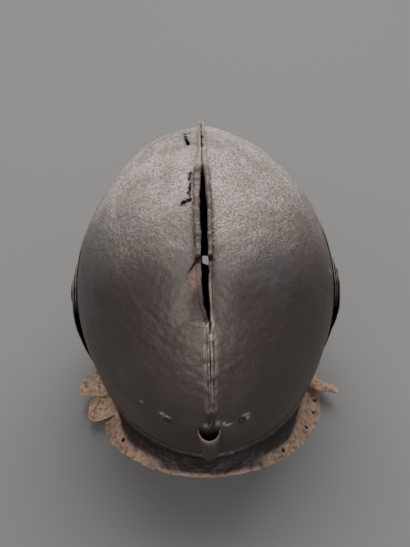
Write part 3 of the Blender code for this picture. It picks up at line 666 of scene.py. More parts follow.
skull = {}
for name, side in (("skull_left", -1), ("skull_right", 1)):
    outer, inner, on_comb, crease = skull_grids(side)
    outer, inner = dented(outer, inner, skull_dents(outer), True)
    paint = skull_paint(outer, on_comb, crease)
    skull[name] = shell(name + "_plate", outer, inner, skull_field, True, paint)
    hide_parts(name)
    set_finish(skull[name], "skull_steel")
    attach(skull[name], "skull")

# %% [markdown]
# ## The three face plates
# Visor, upper bevor and bevor are one form made three times, each a little larger, so that each
# can slide over the one inside it. A ridge, the keel, runs down the middle of each. Behind the
# pivots they end in round lobes. From the back only dark rims show, so the plates are a usual form
# of such a helmet and not a copy of what is there.

# %% Sizes and sections of the face plates
PLATE_WALL = 0.0008
PLATE_GAP = 0.0004
BROW_GAP = 0.0015
KEEL_HEIGHT = 0.008
KEEL_HALF_WIDTH = 0.024
KEEL_SLOPE = 1.35
VISOR_FULLNESS, VENTAIL_FULLNESS, BEVOR_FULLNESS = 2.0, 2.15, 2.45
VISOR_ANGLES = (-7.0, 23.0)
VENTAIL_ANGLES = (-27.0, -3.0)
BEVOR_TOP_ANGLE = -22.0
HUB_RADIUS = 0.015
VENTAIL_LOBE_DROP = 0.001


def plate_sizes(order):
    """Inner half width and inner radius of a front plate: order 0 lies on the skull."""
    step = PLATE_WALL + PLATE_GAP
    return SKULL_HALF_WIDTH + PLATE_GAP + order * step, SKULL_RADIUS + BROW_GAP + order * step


def keel(x):
    """Height of the ridge along the middle: it rises evenly and steepens towards its line."""
    share = np.clip(1.0 - np.abs(x) / KEEL_HALF_WIDTH, 0.0, 1.0)
    return KEEL_HEIGHT * share * (0.55 + 0.45 * share)


def face_plate(name, order, fullness, angles, field):
    """A plate turned about the axis: a superellipse with the keel on it, cut to the field."""
    half_width, radius = plate_sizes(order)
    swing = np.concatenate([np.linspace(0.0, 0.30, 24)[:-1], np.linspace(0.30, math.pi / 2 - 0.012, 80)])
    swing = np.concatenate([-swing[:0:-1], swing])
    share = np.sign(swing) * np.abs(np.sin(swing)) ** (2 / fullness)
    grids = []
    for wall in (PLATE_WALL, 0.0):
        x = (half_width + wall) * share[None, :]
        rho = (radius + wall) * np.cos(swing)[None, :] ** (2 / fullness) + keel(x)
        grids.append(turned(angles[:, None], x, rho))
    outer, inner = grids
    dent = 0.00012 * waves(outer, 21 + order, 0.045) + 0.00005 * waves(outer, 25 + order, 0.010)
    outer, inner = dented(outer, inner, dent, True)
    return shell(name + "_plate", outer, inner, field, True)


def fan_outline(hub_radius, hub_drop, bottom_angle, top_angle):
    """Side view of a front plate: a round end behind the pivot, widening to the face."""
    hub = arc((0.0, -hub_drop), hub_radius, 100.0 + top_angle, 260.0 + bottom_angle, 24)
    return hub + [polar(OUTSIDE, bottom_angle), polar(OUTSIDE, top_angle)]


def slot_field(points, centre_x, centre_z, width, height, rounding=0.45):
    """Distance from an upright slot seen from the front, its corners round by a share of its size."""
    corner = rounding * min(width, height)
    dx = np.abs(points[..., 0] - centre_x) - width / 2 + corner
    dz = np.abs(points[..., 2] - centre_z) - height / 2 + corner
    outside = np.hypot(dx.clip(0), dz.clip(0)) + np.minimum(np.maximum(dx, dz), 0.0) - corner
    return np.where(points[..., 1] > 0.0, outside, 0.05)


def front_height(angle):
    """Height of the middle of a front opening above the pivots."""
    return (SKULL_RADIUS + 2 * KEEL_HEIGHT) * math.sin(math.radians(angle))


print("plates from inside out in mm:", [round(1000 * plate_sizes(order)[0], 1) for order in range(3)])

# %% [markdown]
# The visor has a sight for each eye, and the upper bevor has upright slots to breathe through. The
# photograph is taken from behind, so these follow the plain usual form.

# %% Visor and upper bevor
SIGHT_ANGLE, SIGHT_HEIGHT = 11.0, 0.008
SIGHT_FROM, SIGHT_TO = 0.014, 0.058
BREATH_ANGLE, BREATH_HEIGHT, BREATH_WIDTH = -15.0, 0.022, 0.0045
BREATH_FIRST, BREATH_PITCH, BREATH_COUNT = 0.022, 0.011, 4


def visor_field(points):
    """Distance to the visor's outline, pivot holes or sights."""
    outline = fan_outline(HUB_RADIUS, 0.0, *VISOR_ANGLES)
    middle, width = (SIGHT_FROM + SIGHT_TO) / 2, SIGHT_TO - SIGHT_FROM
    high = front_height(SIGHT_ANGLE)
    sights = [slot_field(points, side * middle, high, width, SIGHT_HEIGHT) for side in (-1, 1)]
    return np.minimum.reduce([within(points, outline), bore_field(points), *sights])


def ventail_field(points):
    """Distance to the upper bevor's outline, pivot holes or breath slots."""
    outline = fan_outline(HUB_RADIUS, VENTAIL_LOBE_DROP, *VENTAIL_ANGLES)
    steps = [BREATH_FIRST + BREATH_PITCH * step for step in range(BREATH_COUNT)]
    places = [side * step for side in (-1, 1) for step in steps]
    high = front_height(BREATH_ANGLE)
    slots = [slot_field(points, place, high, BREATH_WIDTH, BREATH_HEIGHT) for place in places]
    return np.minimum.reduce([within(points, outline), bore_field(points), *slots])


visor_rows = graded((-12.0, 28.0, 0.6), (28.0, 348.0, 4.0))
visor = face_plate("visor", 0, VISOR_FULLNESS, visor_rows, visor_field)
ventail_rows = graded((-32.0, 2.0, 0.6), (2.0, 328.0, 4.0))
ventail = face_plate("ventail", 1, VENTAIL_FULLNESS, ventail_rows, ventail_field)
for made, name in ((visor, "visor"), (ventail, "ventail")):
    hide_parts(name)
    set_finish(made, "plate_steel")
    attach(made, name)

# %% [markdown]
# The bevor covers the chin and both cheeks down to the neck. Its left lobe is bent and hangs lower
# than the right one, so its outline changes from side to side.

# %% Bevor
CHIN_HOLE, CHIN_HOLE_ANGLE, CHIN_HOLE_PLACE = 0.0077, -29.6, 0.0018
BEVOR_LOBE = 1.15
LEFT_LOBE_DROP = 0.010
LEFT_CHEEK_BACK, RIGHT_CHEEK_BACK = 0.010, 0.001


def bevor_outline(hub_drop, cheek_back):
    """Side view of the bevor: a lobe behind the pivot, a cheek down to the neck, then the chin."""
    neck = NECK_HEIGHT - PIVOT_HEIGHT + FIT_GAP
    hub = arc((0.0, -hub_drop), HUB_RADIUS * BEVOR_LOBE, 80.0, 205.0, 24)
    cheek = [(-cheek_back, 0.45 * neck), (-0.7 * cheek_back, 0.75 * neck), (-0.6 * cheek_back, neck)]
    corner = polar(4 * HUB_RADIUS, BEVOR_TOP_ANGLE + 4.0)
    return hub + cheek + [(OUTSIDE, neck), polar(OUTSIDE, BEVOR_TOP_ANGLE), corner]


def bevor_field(points):
    """Distance to the bevor's edges: its two outlines mixed by x, the bore and the chin hole."""
    share = (points[..., 0] + OUTSIDE) / (2 * OUTSIDE)
    left = within(points, bevor_outline(LEFT_LOBE_DROP, LEFT_CHEEK_BACK))
    right = within(points, bevor_outline(0.0, RIGHT_CHEEK_BACK))
    chin = slot_field(points, CHIN_HOLE_PLACE, front_height(CHIN_HOLE_ANGLE), CHIN_HOLE, CHIN_HOLE, 0.12)
    return np.minimum.reduce([left * (1 - share) + right * share, bore_field(points), chin])


bevor_rows = graded((-95.0, -15.0, 0.7), (-15.0, 265.0, 3.5))
bevor = face_plate("bevor", 2, BEVOR_FULLNESS, bevor_rows, bevor_field)
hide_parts("bevor")
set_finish(bevor, "plate_steel")
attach(bevor, "bevor")

# %% [markdown]
# ## The neck plates
# Two flared plates ring the neck. Each starts as a short collar that follows the helmet above it
# and then spreads to its rim, which stands on the table. The rear one is torn and lifted at its
# left end; the ends of the front one stand out at both sides.

# %% Form of a flared plate
GORGET_WALL = 0.0012
COLLAR_HEIGHT = 0.006
COLLAR_GAP = 0.0008
RIM_ALLOWANCE = 0.12
REAR_RIM_SIDE, REAR_RIM_BACK = 0.0955, 0.089
FRONT_RIM_SIDE, FRONT_RIM_FRONT = 0.108, 0.118
REAR_TABLE = (
    # azimuth from the back in degrees, positive to the right; reach from neck to rim; lift of the rim
    # as a share of the neck's height; turn of the rim about the neck in degrees
    (-92, 0.20, 0.45, 0.0),
    (-86, 0.30, 0.50, 0.0),
    (-84.5, 0.92, 0.58, 0.0),
    (-80, 1.20, 0.55, 0.0),
    (-76, 1.36, 0.50, -1.0),
    (-71, 1.50, 0.42, -2.5),
    (-66.2, 1.50, 0.42, -3.2),
    (-65.8, 0.84, 0.00, -4.5),
    (-62, 0.95, 0.00, -3.0),
    (-57, 1.00, 0.00, -1.0),
    (-50, 1.02, 0.00, 0.0),
    (-35, 1.04, 0.00, 0.0),
    (-15, 0.84, 0.00, 0.0),
    (0, 0.84, 0.00, 0.0),
    (15, 0.89, 0.00, 0.0),
    (30, 0.99, 0.00, 0.0),
    (48, 1.07, 0.00, 0.0),
    (60, 1.02, 0.00, 0.0),
    (70, 1.02, 0.00, 0.0),
    (84, 0.94, 0.00, 1.5),
    (89, 0.90, 0.03, 3.0),
    (92, 0.82, 0.08, 4.0),
)
FRONT_TABLE = (
    # azimuth from the front, and the same three
    (-98, 0.90, 0.86, 0.0),
    (-94, 0.96, 0.82, 0.0),
    (-90, 0.95, 0.77, 0.0),
    (-86, 0.80, 0.70, 0.0),
    (-82, 0.64, 0.63, 0.0),
    (-78, 0.57, 0.54, 0.0),
    (-70, 0.76, 0.34, 0.0),
    (-60, 0.88, 0.14, 0.0),
    (-45, 0.95, 0.00, 0.0),
    (0, 1.00, 0.00, 0.0),
    (45, 0.95, 0.00, 0.0),
    (60, 0.88, 0.00, 0.0),
    (70, 0.74, 0.00, 0.0),
    (76, 0.40, 0.06, 0.0),
    (80, 0.48, 0.20, 2.0),
    (83, 0.60, 0.32, 4.0),
    (86, 0.78, 0.46, 5.0),
    (89, 0.98, 0.56, 5.5),
    (92, 1.05, 0.57, 6.0),
)


def neck_reach(azimuth, height, half_width, radius_at, fullness, facing):
    """Distance from the upright line through the axis to a turned form, by halving an interval."""
    sine, cosine = np.sin(np.radians(azimuth)), facing * np.cos(np.radians(azimuth))
    low, high = np.full_like(sine, 0.2 * half_width), np.full_like(sine, 1.6 * half_width)
    for _ in range(40):
        middle = (low + high) / 2
        y = middle * cosine
        angle = np.degrees(np.arctan2(height, y))
        reach = np.hypot(y, height)
        value = (np.abs(middle * sine) / half_width) ** fullness + (reach / radius_at(angle)) ** fullness
        low = np.where(value < 1.0, middle, low)
        high = np.where(value < 1.0, high, middle)
    return (low + high) / 2


def flared_grid(azimuths, facing, neck, rim_radius, table, shoulder):
    """Rows of azimuth, columns from the collar's top edge out to the rim, and each one's share.

    shoulder is how far the flare swells out just below the collar, so that it meets the plate above.
    """
    columns = np.array(table)
    reach, lift, turn = (np.interp(azimuths, columns[:, 0], columns[:, column]) for column in (1, 2, 3))
    lift = lift * NECK_HEIGHT
    base = NECK_HEIGHT - PIVOT_HEIGHT
    rows, heights, shares = [], [], []
    for share in np.linspace(1.0, 0.0, 7):
        rows.append(neck(azimuths, base + COLLAR_HEIGHT * share))
        heights.append(np.full_like(azimuths, base + COLLAR_HEIGHT * share))
        shares.append(np.full_like(azimuths, -share))
    start = rows[-1]
    rim = start + (rim_radius(azimuths) - start) * reach
    for step in np.linspace(0.0, 1.0, 34)[1:]:
        share = step * (1.0 + RIM_ALLOWANCE * (lift < FIT_GAP))
        swelling = shoulder * smooth_step(step / 0.09) * (1.0 - step)
        rows.append(start + (rim - start) * share**1.7 + swelling)
        foot = lift * np.clip(share, 0.0, 1.0) ** 1.2 - PIVOT_HEIGHT
        heights.append(base + (foot - base) * share**0.8)
        shares.append(share)
    distance, z, shares = np.stack(rows, 1), np.stack(heights, 1), np.stack(shares, 1)
    turned_by = np.radians(azimuths[:, None] + turn[:, None] * shares.clip(0.0, 1.0))
    return np.stack([distance * np.sin(turned_by), facing * distance * np.cos(turned_by), z], -1), shares


def half_ellipse(azimuths, side, end):
    """Distance to an ellipse: 1 over the length of (sine over side, cosine over end)."""
    turn = np.radians(azimuths)
    return 1.0 / np.hypot(np.sin(turn) / side, np.cos(turn) / end)


def flared_plate(name, outer, field, paint, torn=None):
    """A neck plate of even thickness under its upper side, blistered by rust."""
    normal = normals_of(outer, False)
    facing = np.sign((normal * np.array([1.0, 1.0, 0.0]) * outer).sum(-1, keepdims=True) + 1e-12)
    normal = normal * facing
    lumps = 0.00016 * waves(outer, 5, 0.012) + 0.00010 * waves(outer, 6, 0.005)
    outer = outer + normal * lumps[..., None]
    return shell(name + "_plate", outer, outer - normal * GORGET_WALL, field, False, paint, torn)


rim_at_side = float(half_ellipse(90.0, REAR_RIM_SIDE, REAR_RIM_BACK))
print("rear rim at the side in mm:", round(1000 * rim_at_side, 1))

# %% [markdown]
# The rear rim has small holes, perhaps for the rivets of a lining band, and it is notched and torn.

# %% Rear neck plate
TEAR_FROM, TEAR_TO, TEAR_SHARE = -66.2, -65.8, 0.42
ROWS_BEFORE_TEAR, ROWS_AFTER_TEAR = 60, 361
SHADE_FROM_AZIMUTH, SHADE_BELOW_SHARE, MOST_SHADE = 20.0, 0.34, 0.6
RIM_HOLE_RADIUS = 0.0016
RIM_HOLES = (
    # azimuth from the back, distance in from the rim
    (82.0, 0.0062),
    (73.0, 0.0052),
    (62.0, 0.0044),
    (42.0, 0.0040),
    (-53.0, 0.0062),
)
NOTCH_AZIMUTH, NOTCH_WIDTH, NOTCH_OUTWARD = -28.0, 0.005, 0.0010
RUST_FROM_AZIMUTH = 22.0


def from_above(azimuth, distance):
    """Place (x, y) at an azimuth from the back."""
    return distance * math.sin(math.radians(azimuth)), -distance * math.cos(math.radians(azimuth))


def rear_field(points):
    """Distance to the floor, the rim holes or the notch."""
    x, y = points[..., 0], points[..., 1]
    fields = [points[..., 2] + PIVOT_HEIGHT]
    for azimuth, inward in RIM_HOLES:
        rim = float(half_ellipse(azimuth, REAR_RIM_SIDE, REAR_RIM_BACK))
        hx, hy = from_above(azimuth, rim - inward)
        fields.append(np.hypot(x - hx, y - hy) - RIM_HOLE_RADIUS)
    ragged = 0.0005 * waves(points, 17, 0.006)
    rim = float(half_ellipse(NOTCH_AZIMUTH, REAR_RIM_SIDE, REAR_RIM_BACK))
    nx, ny = from_above(NOTCH_AZIMUTH, rim + NOTCH_OUTWARD)
    fields.append(np.hypot(x - nx, y - ny) - NOTCH_WIDTH / 2 + ragged)
    return np.minimum.reduce(fields)


def rear_neck(azimuths, height):
    """Collar of the rear plate, just inside the skull."""
    inset = SKULL_WALL + COLLAR_GAP
    return neck_reach(
        azimuths, height, SKULL_HALF_WIDTH - inset, lambda turn: skull_radius(turn) - inset, SKULL_FULLNESS, -1
    )


def rear_rim(azimuths):
    """Half an ellipse with a worn, uneven edge."""
    worn = 0.00025 * uneven(azimuths, 41, 17.0) + 0.0002 * uneven(azimuths, 42, 5.0) - 0.0003
    return half_ellipse(azimuths, REAR_RIM_SIDE, REAR_RIM_BACK) + worn


def rear_rust(azimuths, share):
    """How rusty: full at both ends, and near the middle only towards the rim, dark for the rest."""
    ends = smooth_step((np.abs(azimuths)[:, None] - RUST_FROM_AZIMUTH) / 14.0)
    bare = 0.62 - 0.62 * smooth_step((np.abs(azimuths)[:, None] - 46.0) / 26.0)
    rim = 0.6 * smooth_step((share - 0.80) / 0.15)
    return np.maximum(ends * smooth_step((share - bare + 0.10) / 0.22), rim)


before_tear = np.linspace(-92.0, TEAR_FROM, ROWS_BEFORE_TEAR)
rear_azimuths = np.concatenate([before_tear, np.linspace(TEAR_TO, 92.0, ROWS_AFTER_TEAR)])
rear_outer, rear_share = flared_grid(rear_azimuths, -1, rear_neck, rear_rim, REAR_TABLE, 0.0024)
# Painted shade on the rear plate, kept in the deep mark: darker on the right side and towards the collar, in
# the skull's shadow.
right_shade = 0.30 * smooth_step((rear_azimuths[:, None] - SHADE_FROM_AZIMUTH) / 20.0)
rear_shade = right_shade + 0.55 * smooth_step((SHADE_BELOW_SHARE - rear_share) / 0.3)
rear_paint = {"rust": rear_rust(rear_azimuths, rear_share), "deep": rear_shade.clip(0.0, MOST_SHADE)}
torn = np.zeros((len(rear_azimuths) - 1, rear_share.shape[1] - 1), bool)
tear_row = ROWS_BEFORE_TEAR - 1
torn[tear_row] = rear_share[tear_row, 1:] > TEAR_SHARE
gorget_rear = flared_plate("gorget_rear", rear_outer, rear_field, rear_paint, torn)
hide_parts("gorget_rear")
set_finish(gorget_rear, "rusty_steel")
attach(gorget_rear, "skull")

# %% [markdown]
# The front neck plate hangs from the bevor and turns with it. Its collar runs outside the bevor, and
# its two ends stand out past the rear plate: the left one as a round leaf, the right one as a blade
# that is seen on its edge.

# %% Front neck plate


def front_neck(azimuths, height):
    """Collar of the front plate, just outside the bevor and its keel."""
    outset = PLATE_WALL + COLLAR_GAP
    half_width, radius = (size + outset for size in plate_sizes(2))
    form = neck_reach(azimuths, height, half_width, lambda turn: radius, BEVOR_FULLNESS, 1)
    ridge = keel(form * np.sin(np.radians(azimuths)))
    return form + KEEL_SLOPE * ridge * np.abs(np.cos(np.radians(azimuths)))


def front_rim(azimuths):
    """Half an ellipse with a worn, uneven edge."""
    worn = 0.0003 * uneven(azimuths, 43, 15.0) + 0.0002 * uneven(azimuths, 44, 5.0) - 0.0003
    return half_ellipse(azimuths, FRONT_RIM_SIDE, FRONT_RIM_FRONT) + worn


def floor_field(points):
    """Height above the table."""
    return points[..., 2] + PIVOT_HEIGHT


front_azimuths = np.linspace(-98.0, 92.0, 411)
front_outer, front_share = flared_grid(front_azimuths, 1, front_neck, front_rim, FRONT_TABLE, 0.0)
front_paint = {"rust": smooth_step((front_share - 0.05) / 0.35)}
gorget_front = flared_plate("gorget_front", front_outer, floor_field, front_paint)
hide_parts("gorget_front")
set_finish(gorget_front, "rusty_steel")
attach(gorget_front, "bevor")

# %% [markdown]
# ## Plume socket, pivots and rivets
# The socket is a tapered half tube on the nape, open at the top for the stem of a plume and hammered
# down on the skull at its lower end. The pivots and rivets are profiles carried round a circle.

# %% Plume socket
SOCKET_FROM, SOCKET_TO = 189.5, 215.0
SOCKET_TOP_WIDTH, SOCKET_END_WIDTH = 0.0165, 0.0108
SOCKET_TOP_DEPTH, SOCKET_END_DEPTH = 0.0095, 0.0055
SOCKET_WALL = 0.0010
SOCKET_GAP = 0.0009
along = np.linspace(0.0, 1.0, 60)[:, None]
across = np.radians(np.linspace(-90.0, 90.0, 49))[None, :]
socket_angle = SOCKET_FROM + (SOCKET_TO - SOCKET_FROM) * along
socket_half = (SOCKET_TOP_WIDTH + (SOCKET_END_WIDTH - SOCKET_TOP_WIDTH) * along) / 2
closing = 1.0 - 0.68 * smooth_step((along - 0.78) / 0.22)
socket_depth = (SOCKET_TOP_DEPTH + (SOCKET_END_DEPTH - SOCKET_TOP_DEPTH) * along) * closing
socket_grids = []
for inset in (0.0, SOCKET_WALL):
    x = (socket_half - inset) * np.sin(across)
    on_skull_rho = swell(x, SKULL_HALF_WIDTH, SKULL_RADIUS, SKULL_FULLNESS)
    rho = on_skull_rho + SOCKET_GAP + (socket_depth - inset) * np.cos(across)
    socket_grids.append(turned(socket_angle, x, rho))
mouth = np.exp(-along / 0.05) * np.ones_like(across)
socket_paint = {"edge": 0.5 * mouth, "rust": mouth}
plume_socket = shell("plume_socket_tube", *socket_grids, paint=socket_paint)
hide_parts("plume_socket")
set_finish(plume_socket, "skull_steel")
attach(plume_socket, "skull")

# %% Pivots and rivets
PIVOT_RADIUS = 0.003
PIVOT_HEAD_RADIUS, PIVOT_HEAD_HEIGHT = 0.0075, 0.0010
RIVET_RADIUS, RIVET_HEIGHT = 0.0028, 0.0010
RIVET_ANGLE = 188.0
RIVET_LEFT, RIVET_RIGHT = -0.029, 0.0235


def round_piece(name, profile, origin, normal, steps=48):
    """A closed turned piece: the profile (height, radius) carried round the line through its origin."""
    normal = np.array(normal) / np.linalg.norm(normal)
    first = np.cross(normal, [0.0, 0.36, 0.93])
    first /= np.linalg.norm(first)
    second = np.cross(normal, first)
    height, radius = np.array(profile).T
    turn = np.linspace(0.0, 2 * math.pi, steps, endpoint=False)[:, None, None]
    spoke = np.cos(turn) * first + np.sin(turn) * second
    points = np.array(origin) + height[None, :, None] * normal + radius[None, :, None] * spoke
    number = np.arange(steps * len(height)).reshape(steps, len(height))
    after = np.roll(number, -1, 0)
    quads = np.stack([number[:, :-1], number[:, 1:], after[:, 1:], after[:, :-1]], -1).reshape(-1, 4)
    return piece(name, points.reshape(-1, 3), quads)


def on_skull(angle, x):
    """Point and outward normal of the skull at an angle and x: the slope of the superellipse's equation."""
    radius = float(skull_radius(angle))
    rho = float(swell(x, SKULL_HALF_WIDTH, radius, SKULL_FULLNESS))
    across = math.copysign((abs(x) / SKULL_HALF_WIDTH) ** (SKULL_FULLNESS - 1) / SKULL_HALF_WIDTH, x)
    out = (rho / radius) ** (SKULL_FULLNESS - 1) / radius
    turn = math.radians(angle)
    normal = np.array([across, out * math.cos(turn), out * math.sin(turn)])
    return np.array([x, rho * math.cos(turn), rho * math.sin(turn)]), normal / np.linalg.norm(normal)


head_from = plate_sizes(2)[0] + PLATE_WALL + FIT_GAP
inner_end = SKULL_HALF_WIDTH - SKULL_WALL - 2 * FIT_GAP
dome = np.linspace(0.0, math.pi / 2, 9)
pivot_profile = [
    (inner_end - PIVOT_HEAD_HEIGHT, 0.0),
    (inner_end - PIVOT_HEAD_HEIGHT, 1.5 * PIVOT_RADIUS),
    (inner_end - PIVOT_HEAD_HEIGHT / 2, 1.8 * PIVOT_RADIUS),
    (inner_end, 1.8 * PIVOT_RADIUS),
    (inner_end, PIVOT_RADIUS),
    (head_from, PIVOT_RADIUS),
    (head_from, PIVOT_HEAD_RADIUS),
] + [
    (head_from + PIVOT_HEAD_HEIGHT * (0.25 + 0.75 * math.sin(t)), PIVOT_HEAD_RADIUS * math.cos(t) ** 0.8)
    for t in dome
]
rivet_profile = [(0.0, 0.0), (0.0, RIVET_RADIUS)] + [
    (RIVET_HEIGHT * (0.2 + 0.8 * math.sin(t)), RIVET_RADIUS * math.cos(t) ** 0.8) for t in dome
]
for name, side in (("pivot_left", -1), ("pivot_right", 1)):
    made = round_piece(name + "_head", pivot_profile, (0.0, 0.0, 0.0), (side, 0.0, 0.0))
    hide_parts(name)
    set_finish(made, "plate_steel")
    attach(made, "skull")
for name, x in (("rivet_left", RIVET_LEFT), ("rivet_right", RIVET_RIGHT)):
    place, normal = on_skull(RIVET_ANGLE, x)
    made = round_piece(name + "_head", rivet_profile, place + normal * FIT_GAP, normal, 24)
    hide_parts(name)
    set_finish(made, "rusty_steel")
    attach(made, "skull")

# %% [markdown]
# ## How the finish is put together
# A material here is a few plain questions asked at every point: how large are the pits, how far has
# the surface gone pale, how near is an edge. Each question is a small group of nodes that answers
# with a number or a colour, and the Principled shader of each material reads the answers. Groups
# keep the three materials alike where the real plates are alike, and let each have its own values.

# %% Helpers for nodes


def put(tree, kind, sockets=None, **settings):
    """A node of that kind. Its sockets take a value, or are joined to the socket that is given."""
    made = tree.nodes.new("ShaderNode" + kind)
    for key, value in settings.items():
        setattr(made, key, value)
    for key, value in (sockets or {}).items():
        if isinstance(value, bpy.types.NodeSocket):
            tree.links.new(value, made.inputs[key])
        else:
            made.inputs[key].default_value = value
    return made


def noise(tree, place, scale, detail=4.0, roughness=0.55):
    """Noise from 0 to 1, its lumps about one over the scale in metres."""
    sockets = {"Vector": place, "Scale": scale, "Detail": detail, "Roughness": roughness}
    return put(tree, "TexNoise", sockets).outputs["Fac"]


def spread(tree, value, low, high, first=0.0, last=1.0):
    """The value from low to high spread over first to last with a smooth rise."""
    sockets = {"Value": value, "From Min": low, "From Max": high, "To Min": first, "To Max": last}
    return put(tree, "MapRange", sockets, interpolation_type="SMOOTHSTEP").outputs["Result"]


def combine(tree, operation, first, second):
    """One number of two: ADD, MULTIPLY, MAXIMUM and so on."""
    return put(tree, "Math", {0: first, 1: second}, operation=operation).outputs[0]


def blend(tree, share, first, second):
    """A colour between two by the share."""
    made = put(tree, "Mix", data_type="RGBA")
    for index, value in ((0, share), (6, first), (7, second)):
        if isinstance(value, bpy.types.NodeSocket):
            tree.links.new(value, made.inputs[index])
        else:
            made.inputs[index].default_value = value if index == 0 else (*value, 1.0)
    return made.outputs[2]


def group(name, inputs, outputs):
    """An empty node group with named inputs and outputs, each (name, socket kind, value)."""
    tree = bpy.data.node_groups.new(name, "ShaderNodeTree")
    for label, kind, value in inputs:
        socket = tree.interface.new_socket(label, in_out="INPUT", socket_type="NodeSocket" + kind)
        if value is not None:
            socket.default_value = value
    for label, kind in outputs:
        tree.interface.new_socket(label, in_out="OUTPUT", socket_type="NodeSocket" + kind)
    return tree, tree.nodes.new("NodeGroupInput").outputs, tree.nodes.new("NodeGroupOutput").inputs


# %% [markdown]
# ## Pitted steel
# Steel that has rusted and been cleaned keeps a skin of fine pits. On the crown the skin looks
# frosted and pale, with brown and bluish stains, and the lower back is smoother and dark; that pale
# crown and dark nape also paint the light from above and the shade below. Three sizes of noise
# make the grain, the pits and the lumps, and three more the stains. A plane that leans back through
# the helmet says where the frosting and the painted light end.

# %% Group: pitted steel
tree, given, result = group(
    "pitted_steel",
    (
        ("Position", "Vector", None),
        ("Frost And Light", "Float", 1.0),
        ("Wear And Highlight", "Float", 0.0),
        ("Dark Colour", "Color", (0.045, 0.037, 0.034, 1.0)),
        ("Frost Colour", "Color", (0.42, 0.37, 0.35, 1.0)),
    ),
    (("Colour", "Color"), ("Roughness", "Float"), ("Height", "Float")),
)
position, frost_and_light, worn = given["Position"], given["Frost And Light"], given["Wear And Highlight"]
patches = spread(tree, noise(tree, position, 21.0, 4.0, 0.6), 0.33, 0.66)
stain = spread(tree, noise(tree, position, 48.0, 5.0, 0.65), 0.36, 0.68)
grain = noise(tree, position, 520.0, 5.0, 0.65)
pits = spread(tree, noise(tree, position, 1100.0, 2.0, 0.5), 0.30, 0.55)
# The frost mask turns the colour pale: frosting, and painted light from above on the crown.
pale = combine(tree, "MULTIPLY", frost_and_light, spread(tree, patches, 0.0, 1.0, 0.70, 1.0))
pale = combine(tree, "MULTIPLY", pale, spread(tree, grain, 0.34, 0.62, 0.50, 1.15))
pale = combine(tree, "MULTIPLY", pale, spread(tree, pits, 0.0, 1.0, 0.55, 1.05))
colour = blend(tree, pale, given["Dark Colour"], given["Frost Colour"])
brown = combine(tree, "MULTIPLY", combine(tree, "MULTIPLY", stain, frost_and_light), 0.46)
colour = blend(tree, brown, colour, (0.150, 0.104, 0.080))
blue = spread(tree, noise(tree, position, 17.0, 3.0, 0.5), 0.50, 0.66, 0.0, 0.40)
colour = blend(tree, blue, colour, (0.150, 0.150, 0.165))
# Towards pale bare steel: rubbed edges and comb, and painted highlights where the bright mark lies.
bare = combine(tree, "MULTIPLY", worn, spread(tree, grain, 0.30, 0.60, 0.35, 1.0))
colour = blend(tree, bare, colour, (0.82, 0.72, 0.64))
tree.links.new(colour, result["Colour"])
rough = spread(tree, grain, 0.3, 0.7, 0.42, 0.54)
rough = combine(tree, "ADD", rough, combine(tree, "MULTIPLY", frost_and_light, 0.06))
tree.links.new(rough, result["Roughness"])
lumps = noise(tree, position, 200.0, 4.0, 0.6)
lumps = combine(tree, "MULTIPLY", lumps, combine(tree, "ADD", frost_and_light, 0.30))
depth = combine(tree, "MULTIPLY", combine(tree, "ADD", pits, combine(tree, "MULTIPLY", grain, 1.6)), frost_and_light)
depth = combine(tree, "ADD", depth, combine(tree, "MULTIPLY", grain, 0.25))
depth = combine(tree, "ADD", depth, combine(tree, "MULTIPLY", lumps, 2.4))
tree.links.new(depth, result["Height"])
print("pitted_steel has", len(tree.nodes), "nodes")

# %% [markdown]
# ## Rust
# Rust is not one brown. Its crust is dark where it is thick, orange where it is fresh and tan where
# it has dried to a dust, in blisters a few millimetres across. The group gives that colour and the
# height of the crust, and the material lays it over the steel by an amount.

# %% Group: rust crust
tree, given, result = group(
    "rust_crust",
    (
        ("Position", "Vector", None),
        ("Dusty", "Float", 0.5),
        ("Thick Colour", "Color", (0.125, 0.070, 0.050, 1.0)),
        ("Dust Colour", "Color", (0.46, 0.310, 0.222, 1.0)),
    ),
    (("Colour", "Color"), ("Height", "Float")),
)
blisters = noise(tree, given["Position"], 260.0, 6.0, 0.65)
broad = noise(tree, given["Position"], 60.0, 3.0, 0.5)
dust = spread(tree, blisters, 0.30, 0.56)
dust = combine(tree, "MULTIPLY", dust, spread(tree, broad, 0.30, 0.64, 0.55, 1.0))
dust = combine(tree, "MULTIPLY", dust, given["Dusty"])
colour = blend(tree, dust, given["Thick Colour"], given["Dust Colour"])
fresh = spread(tree, noise(tree, given["Position"], 120.0, 4.0, 0.6), 0.52, 0.70, 0.0, 0.55)
colour = blend(tree, fresh, colour, (0.38, 0.195, 0.12))
tree.links.new(colour, result["Colour"])
tree.links.new(combine(tree, "ADD", blisters, combine(tree, "MULTIPLY", broad, 0.8)), result["Height"])
print("rust_crust has", len(tree.nodes), "nodes")

# %% [markdown]
# ## The three materials
# All three are steel under rust. The skull is frosted on top and dark below, which also paints
# light on its crown and shade at its nape; the face plates are darker and less frosted, and the
# neck plates are rusty all over except at the back. Bare metal is metallic and rust is not, so the
# share of rust also lowers the metallic value.

# %% Materials
FROST_AND_LIGHT_LEAN = (0.0, 0.67, 0.74)
PAINTED_SHADE_COLOUR = (0.018, 0.014, 0.012)


def marked(tree, name):
    """The value of one of the mesh's own marks."""
    return put(tree, "Attribute", attribute_name=name).outputs["Fac"]


